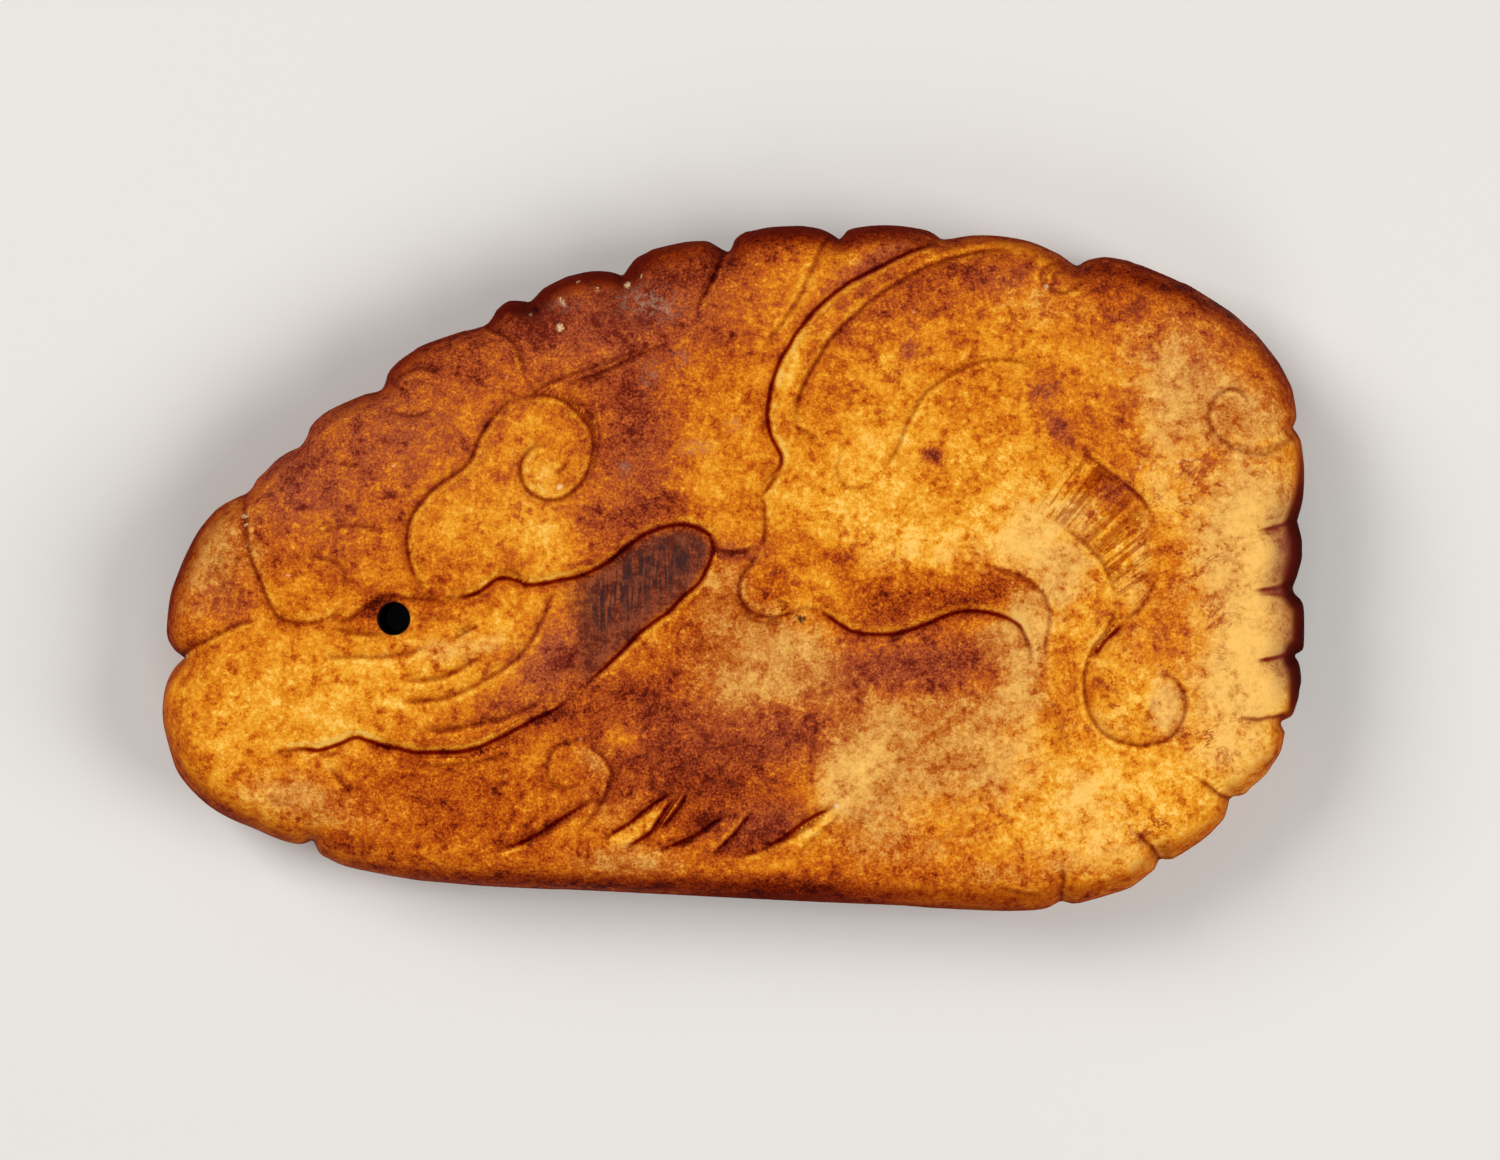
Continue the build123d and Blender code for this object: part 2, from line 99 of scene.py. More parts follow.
def thread(points, step):
    """A smooth line through places given in percent.

    Each stretch between two points is the Catmull-Rom cubic of the four points around it, in
    ten short pieces. The line is then cut anew into equal pieces, about the step long.
    """
    p = np.array(points, float) * (LENGTH / 100, HEIGHT / 100)
    p = np.vstack([2 * p[0] - p[1], p, 2 * p[-1] - p[-2]])
    a, b, c, d = (p[k:len(p) - 3 + k, None] for k in range(4))
    t = np.linspace(0, 1, 10, endpoint=False)[None, :, None]
    bend = 2 * b + (c - a) * t + (2 * a - 5 * b + 4 * c - d) * t ** 2 + (3 * b - a - 3 * c + d) * t ** 3
    fine = np.vstack([bend.reshape(-1, 2) / 2, p[-2]])
    run = np.r_[0, np.hypot(*np.diff(fine, axis=0).T).cumsum()]
    even = np.linspace(0, run[-1], max(round(run[-1] / step), 2) + 1)
    return np.column_stack([np.interp(even, run, fine[:, 0]), np.interp(even, run, fine[:, 1])])


rim = np.vstack([thread(lobe, RIM_STEP)[:-1] for lobe in RIM])


# The carved lines. Each is a slanting cut made with a wheel: one bank is steep, and stands on the
# form that the line goes round, and the other bank rises slowly. Dirt and old colour sit in them,
# and their colour also carries painted shade in the cut and up the slow bank.

# The depth and the widths of the steep and the slow bank, all in mm, and how strong the dirt and
# painted shade in the cut are.
KINDS = {
    "deep": (0.42, 0.55, 1.50, 0.92),
    "bold": (0.30, 0.46, 1.00, 0.64),
    "stroke": (0.32, 0.34, 0.80, 0.98),
    "clean": (0.30, 0.46, 1.00, 0.56),
    "line": (0.20, 0.38, 0.70, 0.50),
    "fine": (0.10, 0.30, 0.45, 0.40),
    "soft": (0.07, 0.34, 0.60, 0.12),
    "hair": (0.05, 0.22, 0.25, 0.24),
}

# A row has the kind of cut, the side of its slow bank as seen along the line, 1 for left and -1
# for right, and the places that it runs through.
HEAD_LINES = [
    # the nose, and the front of the mouth
    ("clean", -1, [(-42.7, 12.2), (-42.5, 10.8), (-42.3, 7.5), (-42.1, 5.4), (-42, 3.3), (-41.3, -0.4),
        (-39.9, -5.8), (-39.3, -7.1), (-38.3, -7.7), (-37, -7.9), (-35.75, -7.7), (-34.8, -7.1),
        (-34.1, -5.9), (-33.7, -4.4)]),
    ("clean", 1, [(-49.6, -14.4), (-48.2, -13.1), (-47.6, -12.2), (-46.6, -11.3), (-43, -8.3),
        (-40.9, -7.4)]),
    # small folds behind the nose
    ("fine", 1, [(-37.5, 0.3), (-37, 1.2), (-36.4, 1.5), (-35.4, 1.3), (-34.1, 0.55), (-33.7, -0.6),
        (-33.6, -2.5), (-33.7, -4.2)]),
    ("fine", 1, [(-36.4, 4.5), (-34.3, 5.7), (-33.1, 6), (-31.8, 5.85), (-29.6, 5)]),
    ("hair", 1, [(-36.2, 5.6), (-34.6, 6.5), (-33, 6.7)]),
    # the mouth, above and below the cord hole
    ("line", -1, [(-35.3, -7.6), (-34, -7.6), (-32.9, -7), (-30.9, -4.6), (-30.1, -4), (-28.8, -4.2),
        (-26, -4.6), (-24.4, -5)]),
    ("line", 1, [(-34.8, -8.6), (-32.6, -9.45), (-30.1, -9.6)]),
    ("hair", 1, [(-28, -7.4), (-26.6, -7.3), (-25.2, -7.4), (-23.6, -7)]),
    # folds of the lip and the cheek
    ("fine", 1, [(-35.75, -12.8), (-34.2, -12.9), (-31.9, -12.85), (-31, -13), (-28.1, -12.35),
        (-27.2, -11.8), (-26, -11.3)]),
    ("line", 1, [(-28.7, -16.1), (-27.9, -16.3), (-25.8, -16), (-25, -15.6), (-23.5, -14.5), (-22.8, -13.7),
        (-21.4, -12.85)]),
    ("line", 1, [(-24.3, -10.1), (-23.5, -9.7), (-22.8, -8.9), (-22, -8.2)]),
    ("fine", 1, [(-24.1, -9.3), (-23.3, -8.9), (-22.5, -8.1)]),
    ("line", 1, [(-29.15, -18.8), (-28.2, -19.3), (-26.4, -19.1), (-25.5, -19), (-23.8, -18.1),
        (-22.3, -17), (-20.35, -15), (-19.7, -14.4), (-18.4, -12.6), (-17.5, -10.6), (-16.3, -6.8),
        (-15.8, -4.3), (-14.9, -3.76), (-14.4, -4.3)]),
    ("line", 1, [(-27.3, -23.3), (-26.4, -23.5), (-24.3, -23.3), (-20.65, -22), (-19.7, -21.7),
        (-16.7, -19.4), (-15.9, -18.8), (-15.5, -18.3)]),
    # the jaw, and folds of the chin
    ("deep", -1, [(-40.6, -26.8), (-39.5, -26.4), (-37.8, -26.1), (-36.7, -26.1), (-35.75, -26.2),
        (-33.8, -25.1), (-33.1, -24.5), (-32.4, -24.4), (-31.9, -24.7), (-30.06, -25.7), (-29.15, -25.9),
        (-27.6, -26.55), (-25.8, -26.5), (-24, -26.5), (-22.2, -25.9), (-19.7, -24), (-19, -23.3),
        (-18.2, -22.7), (-17.5, -21.95), (-15.2, -20.1), (-13.4, -17.8), (-12.6, -16.5)]),
    ("fine", 1, [(-36.1, -27.2), (-35, -27), (-34, -26.4)]),
    ("fine", -1, [(-27.3, -28.1), (-25.8, -28.3), (-23.1, -28.1), (-21.3, -27.5), (-18.9, -25.9)]),
    ("line", 1, [(-35.1, -28.5), (-33.9, -31), (-33.5, -32.2), (-33.5, -33.2)]),
    ("hair", 1, [(-40.3, -32.4), (-39.7, -33.6), (-38.9, -34.2), (-38, -34)]),
    # curls and creases of the forehead
    ("line", -1, [(-29.6, 22.8), (-28.9, 22.2), (-27.8, 21.9), (-26.7, 22.3), (-25.8, 23.4)]),
    ("line", 1, [(-29.6, 26.8), (-27.6, 28.6), (-26.7, 28.7), (-25.6, 28)]),
    ("fine", -1, [(-29.6, 26.8), (-28.9, 25.9), (-28.2, 25.4)]),
    ("clean", 1, [(-22, 36.6), (-21.7, 35.4), (-21, 34.2), (-20.3, 33.8), (-19, 32.3), (-18.3, 29.3),
        (-18.2, 28.2), (-18, 27.1)]),
    ("hair", 1, [(-36.4, 18.7), (-35.5, 20.2), (-34.3, 21.6), (-32.1, 22.9), (-31, 23.3)]),
    ("hair", 1, [(-37.9, 14.1), (-36.8, 15)]),
    ("fine", 1, [(-34.1, 15), (-32.3, 14.6)]),
    # the brow, and what trails from it
    ("bold", 1, [(-26.3, -3.9), (-27.7, -0.6), (-28.2, 3.1), (-28.2, 5), (-28, 6.6), (-27.5, 8.25),
        (-26.1, 11.1), (-24.1, 13.4), (-23.25, 14.45), (-22.7, 15.7), (-22.3, 17.1), (-22, 18.5),
        (-20.8, 21.6), (-19.2, 24.2), (-18.5, 25), (-17.7, 25.3)]),
    ("line", 1, [(-18.2, 25.3), (-16.6, 25.9), (-15, 27.1), (-10.07, 30.1), (-8.44, 31.2), (-7.46, 31.3)]),
    ("bold", -1, [(-14.8, 26), (-13.3, 27.1), (-11.7, 28.06), (-8.44, 30.6), (-5.8, 32.3)]),
    # the spiral of the eye
    ("bold", 1, [(-19.85, 23), (-18.9, 24.1), (-17.7, 24.7), (-15.8, 24.7), (-15, 24.3), (-14.3, 23.6),
        (-12.5, 20.4), (-12.2, 18.5), (-12.2, 16.7), (-12.4, 14.8), (-12.9, 12.9), (-13.7, 11.3),
        (-14.7, 10.1), (-15.65, 9.8), (-16.6, 10), (-17.6, 10.9), (-18.25, 12.5), (-18.4, 14.1),
        (-18.2, 15.7), (-17.6, 16.9), (-16.8, 17.5), (-15.9, 17.5), (-15.4, 17)]),
    ("line", -1, [(-15.4, 13.6), (-14.8, 14.3), (-14.2, 15.5)]),
    ("fine", 1, [(-15.3, 25.2), (-14.5, 25.1), (-13.66, 24.4), (-13, 23.4), (-12.5, 22.2), (-11.7, 20.4),
        (-11.7, 18.1), (-12.2, 14.1), (-12.7, 12)]),
    # the line under the eye and round the tongue, and strokes beside it
    ("deep", -1, [(-26.3, -3.9), (-25.5, -4.2), (-23.5, -4.2), (-22.5, -3.8), (-21.7, -3.1), (-20.3, -1.45),
        (-18.6, -1.8), (-17.8, -2.4), (-16, -2.1), (-15.1, -1.7), (-13.2, -1.1), (-10.8, 0.9), (-9.6, 2.6),
        (-7.4, 5.1), (-5, 6.26), (-3.4, 6), (-2.3, 5.1), (-1.9, 4.6), (-1.8, 3.6), (-1.7, 2.8), (-2, 0.76),
        (-2.7, -1.6), (-3.1, -2.5), (-4.4, -4.35), (-5.6, -6.45), (-6.3, -7.2), (-8.2, -9.6), (-9.4, -11.7),
        (-11.3, -14.7), (-14.4, -19.2)]),
    ("fine", 1, [(-20.1, -0.2), (-19.7, -0.4), (-19, -0.6), (-18.2, -1.6)]),
    ("soft", 1, [(-14.6, -5.8), (-14.45, -5.3), (-14, -5), (-13.35, -5.1), (-12.8, -5.8), (-12.25, -7.9),
        (-12.8, -11), (-13, -12.3), (-13.8, -14.4), (-15.1, -16.5), (-15.6, -17.6)]),
    ("hair", 1, [(-13.4, -6.4), (-13.3, -8.6), (-13.6, -11), (-14.1, -13), (-14.9, -15)]),
    ("hair", 1, [(-11.9, -9), (-12.1, -11), (-12.5, -13), (-13.2, -15)]),
    # the step from the tongue to the body
    ("bold", -1, [(-1.86, 4.7), (-1.46, 3.1), (-1.07, 2.6), (0.5, 2.3), (1.76, 3), (2, 3.4)]),
    # scratches on the nose
    ("hair", 1, [(-44.3, 3), (-44.5, 0.5), (-44.8, -2)]),
    ("hair", 1, [(-43.9, 1.2), (-44, -1.4), (-44.3, -4.2)]),
    ("hair", 1, [(-43.4, -0.6), (-43.5, -3.2), (-43.8, -6)]),
    ("hair", 1, [(-44.6, -2.6), (-44.8, -4.6), (-45.2, -6.6)]),
    ("hair", 1, [(-45.2, 1.6), (-45.4, -0.6), (-45.7, -2.8)]),
    ("hair", 1, [(-42.9, 2.2), (-43.1, 0.4), (-43.3, -1.6)]),
    ("hair", 1, [(-42.6, -2.4), (-42.7, -4.6), (-42.9, -6.2)]),
]
BODY_LINES = [
    # the raised band: its outer edge, then its inner one
    ("deep", -1, [(18.6, 48.6), (17.46, 46.8), (15.26, 45.5), (11.1, 42), (10.2, 41.3), (9.34, 40.2),
        (8.7, 39.5), (6.7, 36.4), (6.05, 34.9), (5.4, 33.65), (4.96, 32.2), (4.08, 29.8), (3.3, 26),
        (3.2, 24.5), (3, 23), (3, 21.6), (3.3, 19), (4.2, 16), (3.9, 14.1), (2.9, 12.6), (2.46, 11.7),
        (2.2, 10.8)]),
    ("bold", -1, [(3.9, 13.7), (3.27, 12), (2.7, 10.8), (2.5, 10.1)]),
    ("clean", -1, [(2.2, 10.8), (2.6, 9.6), (2.8, 6), (2.6, 3.6), (2.3, 2.6)]),
    ("clean", -1, [(5, 19.6), (5.3, 20.5), (5.7, 24.5), (6.7, 28.4), (7.6, 30.7), (8, 32), (8.6, 33.3),
        (10, 35.7), (10.8, 36.75), (11.5, 38), (13.3, 40.2), (14.2, 41), (15, 41.9), (16.8, 43.5),
        (19, 44.8), (21.2, 45.7), (23.4, 46), (24.5, 45.8), (25.1, 45.5)]),
    ("line", -1, [(5.2, 20.7), (6.05, 19.8), (7.4, 18.5)]),
    # cuts that run in from the crest
    ("bold", -1, [(-0.1, 47.2), (-0.86, 45.4), (-2, 40.8), (-2.8, 38.5), (-3.3, 36.5)]),
    ("bold", -1, [(-17.9, 39.6), (-17.7, 38.2), (-17.25, 37.6), (-16.67, 36.5)]),
    ("fine", 1, [(8.8, 48.8), (7.8, 46.8), (6.5, 42), (5.4, 38), (4.7, 36.6), (4.1, 34.9), (3.4, 33.5),
        (2.76, 31.8), (2.4, 31.3)]),
    # the curl at the top right
    ("fine", 1, [(29.5, 43.6), (28.7, 44.1), (27.7, 43.9), (26.9, 43), (26.65, 41.8), (26.95, 40.6),
        (27.8, 39.8), (28.8, 39.7), (29.7, 40.4), (30.1, 41.6), (29.95, 42.8)]),
    ("fine", 1, [(29.2, 42.3), (28.5, 42.8), (27.8, 42.3), (27.8, 41.4), (28.4, 40.9)]),
    # the haunch, with a small curl at its foot
    ("fine", 1, [(13.1, 13.9), (13.6, 15.6), (14.3, 17.5), (15.2, 21.2), (15.6, 22.3), (16.1, 24),
        (16.8, 25.3), (17.5, 26.2), (18.1, 27.1), (20.7, 29.3), (22.9, 29.9), (24.7, 29.7), (26.4, 28.3)]),
    ("hair", -1, [(9.6, 16.6), (9.17, 15.5), (9.03, 14.4), (9.1, 13.2), (9.4, 12.3), (9.9, 11.7),
        (11.2, 11.7), (12.2, 12.6)]),
    # the curl at the right end
    ("fine", 1, [(49.3, 20.2), (47.2, 17.3), (45.7, 16.4), (44.2, 16.8), (43.4, 17.3), (42.1, 18.8),
        (41.3, 20.6), (41.2, 22.6), (41.7, 24.5), (42.7, 25.5), (43.3, 25.7), (44.2, 24.9), (44.65, 23.25),
        (44.65, 22.6)]),
    ("hair", 1, [(48.3, 19.1), (47.7, 18.4), (46.2, 17.3), (45.4, 17.2), (43.9, 17.7), (43, 18.6)]),
    ("hair", 1, [(34, 40.05), (35.4, 39), (36, 38.4), (37.06, 38.3)]),
    # the tuft of the leg
    ("soft", -1, [(25.6, 7.6), (26.3, 8.5), (27, 10.9), (27.9, 14.3), (28.9, 15.6), (30.1, 16.3)]),
    ("bold", -1, [(29.5, 16.2), (30.7, 16), (32, 14.4), (34.9, 10.7), (35.8, 8.7), (36.4, 6)]),
    ("soft", -1, [(35.8, 8.7), (36.4, 6), (36.8, 3.4), (36.8, 0.7), (36.5, -2.2), (36.1, -3.9)]),
    ("line", -1, [(36.8, 0.4), (36.5, -2.2), (35.7, -4.9), (34.5, -6.9), (33.8, -7.8)]),
    ("line", -1, [(31, 14.7), (31.9, 13.7), (33.6, 11.6)]),
    ("fine", 1, [(28.2, 6.1), (29.2, 5.06), (30.4, 3.5), (31.6, 1.4), (32.3, -0.5), (32.8, -3),
        (32.9, -4.2)]),
    # the curled paw at the right
    ("deep", 1, [(33.8, -7.8), (32.7, -9.7), (32.15, -10.5), (31.05, -13.2)]),
    ("clean", 1, [(32.9, -3.7), (32.95, -5.3), (32.9, -6.6), (32.1, -9.5), (31.45, -10.8), (31, -12.1),
        (30.4, -15.2), (30.4, -18.1), (30.9, -21.3), (31.9, -23.6), (33.2, -24.9), (34.8, -25.6),
        (35.5, -25.7), (37.1, -25.05), (37.75, -24.7), (38.7, -22.8), (39.2, -20.2), (39, -17.85),
        (38, -15.75), (36.8, -15.2), (36.2, -15.5)]),
    ("hair", 1, [(36.3, -18.1), (36.2, -19.7), (35.9, -21), (35.2, -22.6)]),
    # the shin
    ("fine", -1, [(21.5, 0.5), (24.9, -1.15), (25.9, -2.35), (26.5, -3.1), (27, -4.4), (27.4, -7.4),
        (27.1, -10.4), (27, -13.4)]),
    # the curled paw at the left, and the leg's lower edge
    ("bold", -1, [(2, 3.4), (1.6, 0.5), (1.13, -0.3), (0.58, -2.1), (0.58, -4.2), (0.82, -5), (1.9, -6.6),
        (3.5, -7.1), (4.9, -6.45), (6.2, -5.65), (7.77, -6.5)]),
    ("deep", -1, [(4.9, -6.45), (6.2, -5.65), (7.77, -6.5), (9.9, -8.8), (10.65, -9.2), (11.7, -9.5),
        (14.2, -9.4), (16.8, -8), (17.7, -7.3), (19.5, -6.3), (21.3, -6.2), (23.1, -6.8), (24.3, -7.7),
        (24.9, -8.6), (25.3, -10.1), (25.7, -11.9), (25.9, -14.3)]),
    ("line", -1, [(3.65, -4.5), (4.3, -4.9), (4.9, -5.5)]),
    ("fine", -1, [(0.5, -5.8), (1.13, -6.8), (1.9, -7.5), (2.87, -7.9), (3.8, -8), (4.75, -7.8)]),
    # cuts that run in from the right end and the lower right
    ("deep", 1, [(50.2, 7.4), (49.4, 7), (48.4, 6.9), (47.6, 6.2), (45.4, 5.3)]),
    ("line", -1, [(47.7, 5.55), (46.4, 5), (45.6, 5)]),
    ("deep", 1, [(49.6, -2), (47.9, -2.4), (47.3, -2.8), (45.8, -3.1), (45, -3.4)]),
    ("bold", -1, [(49.6, -4.2), (48.95, -4.2), (48.3, -4), (45.3, -3.7)]),
    ("deep", 1, [(49.8, -12.5), (47.7, -12.6), (47, -12.9), (45.15, -13.4)]),
    ("line", -1, [(49.2, -14.2), (48.6, -13.9), (47.8, -13.5)]),
    ("bold", 1, [(48.6, -22), (47.8, -21.3), (47, -21.5), (46.25, -21.5), (45.6, -21.8), (43.8, -21.5)]),
    ("bold", 1, [(44.2, -34.2), (43.3, -33.4), (42.2, -32.65), (41.1, -31.2), (40.6, -30.7), (40.1, -30)]),
    ("bold", 1, [(37.8, -43.6), (36.5, -40.5), (35.9, -39.6), (34.8, -37.7)]),
    ("line", 1, [(28.7, -49.6), (28.57, -46.9), (28.66, -45.6), (28.76, -44.7), (28.3, -42.4)]),
    ("fine", 1, [(47.6, -25.9), (47, -27.5), (46.4, -28.6), (46.1, -29.4)]),
]
MANE_LINES = [
    # under the jaw: a soft crease and the small curl
    ("soft", 1, [(-37.2, -40.2), (-35, -39.25), (-34.2, -38.9), (-33.2, -39.1), (-31.4, -40.07),
        (-30.4, -40.2), (-28.3, -39.9), (-27.1, -40), (-25.9, -39.9), (-23.75, -39.3), (-23.2, -38.9)]),
    ("fine", -1, [(-11.4, -24.6), (-13.1, -24.7), (-13.9, -25.1), (-14.7, -25.3), (-15.3, -25.8),
        (-15.7, -26.5), (-16, -27.6), (-16.1, -28.8), (-16, -30.1), (-15.6, -31.1), (-15, -31.6),
        (-14.3, -31.7), (-13.7, -31.4), (-13.3, -30.7), (-13.1, -29.9)]),
    ("line", 1, [(-13.1, -24.7), (-11.9, -26.5), (-11.35, -27.1), (-10.56, -29.1), (-10.5, -30.1),
        (-10.8, -30.9), (-10.86, -32), (-11.55, -34), (-11.9, -35), (-13.1, -37.4), (-13.7, -38.3)]),
    # the feather strokes
    ("stroke", -1, [(-11.9, -33.2), (-14.3, -35.65), (-16.7, -38.3), (-17.5, -38.9), (-18.2, -39.6),
        (-20.6, -40.9)]),
    ("hair", -1, [(-18.9, -35), (-20, -38.6), (-20.3, -39.6)]),
    ("hair", -1, [(-21.2, -36.6), (-22.4, -38.6), (-23, -39.4)]),
    ("stroke", -1, [(-4.9, -32.1), (-5.3, -32.4), (-7.8, -35.3), (-9, -37), (-9.8, -37.7), (-11.3, -39.3)]),
    ("stroke", 1, [(-4.9, -32.5), (-5.3, -33.6), (-5.8, -34.6), (-6.8, -37.15), (-7.3, -38.3),
        (-8.8, -39.8), (-9.65, -40.5)]),
    ("stroke", 1, [(-3.9, -32), (-4.4, -33.6), (-5.1, -35.3), (-6.4, -37.9)]),
    ("stroke", -1, [(-0.1, -35.5), (-0.7, -35.9), (-2.06, -37.3), (-3.4, -38.8), (-5.8, -40.5),
        (-6.8, -40.7)]),
    ("stroke", 1, [(1.65, -34.8), (1.4, -35.6), (0, -38.6), (-1.9, -41.6)]),
    ("stroke", -1, [(9.2, -34.2), (7.4, -35.6), (6, -37), (4, -39.4), (1.65, -41.1), (0.8, -41.5),
        (0.13, -42.1)]),
    ("hair", 1, [(9.9, -34.2), (9.07, -35.6), (8.6, -36.7), (7.2, -38.4), (5.9, -40.7), (5.2, -41.5)]),
    # faint locks of the mane
    ("soft", 1, [(-6.45, -17.5), (-6.8, -18.5), (-6.8, -19.6), (-6.45, -20.45), (-5.8, -21)]),
    ("soft", 1, [(-6.2, -25.5), (-6.5, -27.4), (-7.4, -29.6)]),
    ("soft", 1, [(1.65, -18.2), (1.85, -19.3), (1.8, -20.7), (1.5, -22.1), (1.1, -23.3)]),
    ("soft", -1, [(0.4, -26), (-0.6, -28.2), (-3.9, -34)]),
    ("soft", 1, [(6.5, -21), (7.2, -22.7), (7.4, -23.8), (7.05, -25.5), (6.2, -28.6), (5.5, -30),
        (4, -33.9)]),
    ("soft", 1, [(12.5, -24.5), (12.6, -23.4), (13.1, -22.7), (13.8, -22.4), (14.3, -22.7), (14.6, -23.65),
        (14.6, -26.2), (13.7, -30.4), (13.3, -31.8), (12.6, -33.2), (11.4, -35.7), (8.4, -39.65),
        (7, -41.1)]),
    ("soft", 1, [(20, -24.5), (20.2, -23.8), (20.7, -23.1), (21.35, -23), (22, -23.5), (22.5, -24.5),
        (22.8, -27.3), (21.9, -31.2), (21.5, -33.2), (21, -34.9), (20.3, -36.3), (19.3, -37.7),
        (18.3, -38.8), (17, -40.5), (15.6, -41.6), (14.6, -42.5)]),
    ("soft", 1, [(25.2, -38.1), (24.1, -40.4), (23.3, -41.5), (22.7, -42.1), (19.9, -45.6), (18.9, -46.3)]),
    ("fine", -1, [(22.6, -45.9), (25, -46.9), (26.9, -47.4)]),
    # second lines beside the feather strokes
    ("line", -1, [(7.6, -36.4), (5, -38.9), (1.9, -40.9)]),
    ("line", 1, [(1.2, -36.8), (-0.4, -39.6), (-1, -40.6)]),
    ("hair", -1, [(-6.4, -33.9), (-8.4, -36.6), (-9.4, -37.8)]),
    ("line", -1, [(-1.6, -37.1), (-2.8, -38.5), (-4.2, -39.7), (-5.4, -40.4)]),
    ("fine", -1, [(-13.4, -35.4), (-16.2, -38.3), (-17.6, -39.4)]),
    ("soft", 1, [(-5.2, -22.6), (-6.4, -24.4), (-7.4, -26.4), (-8, -28.2)]),
]

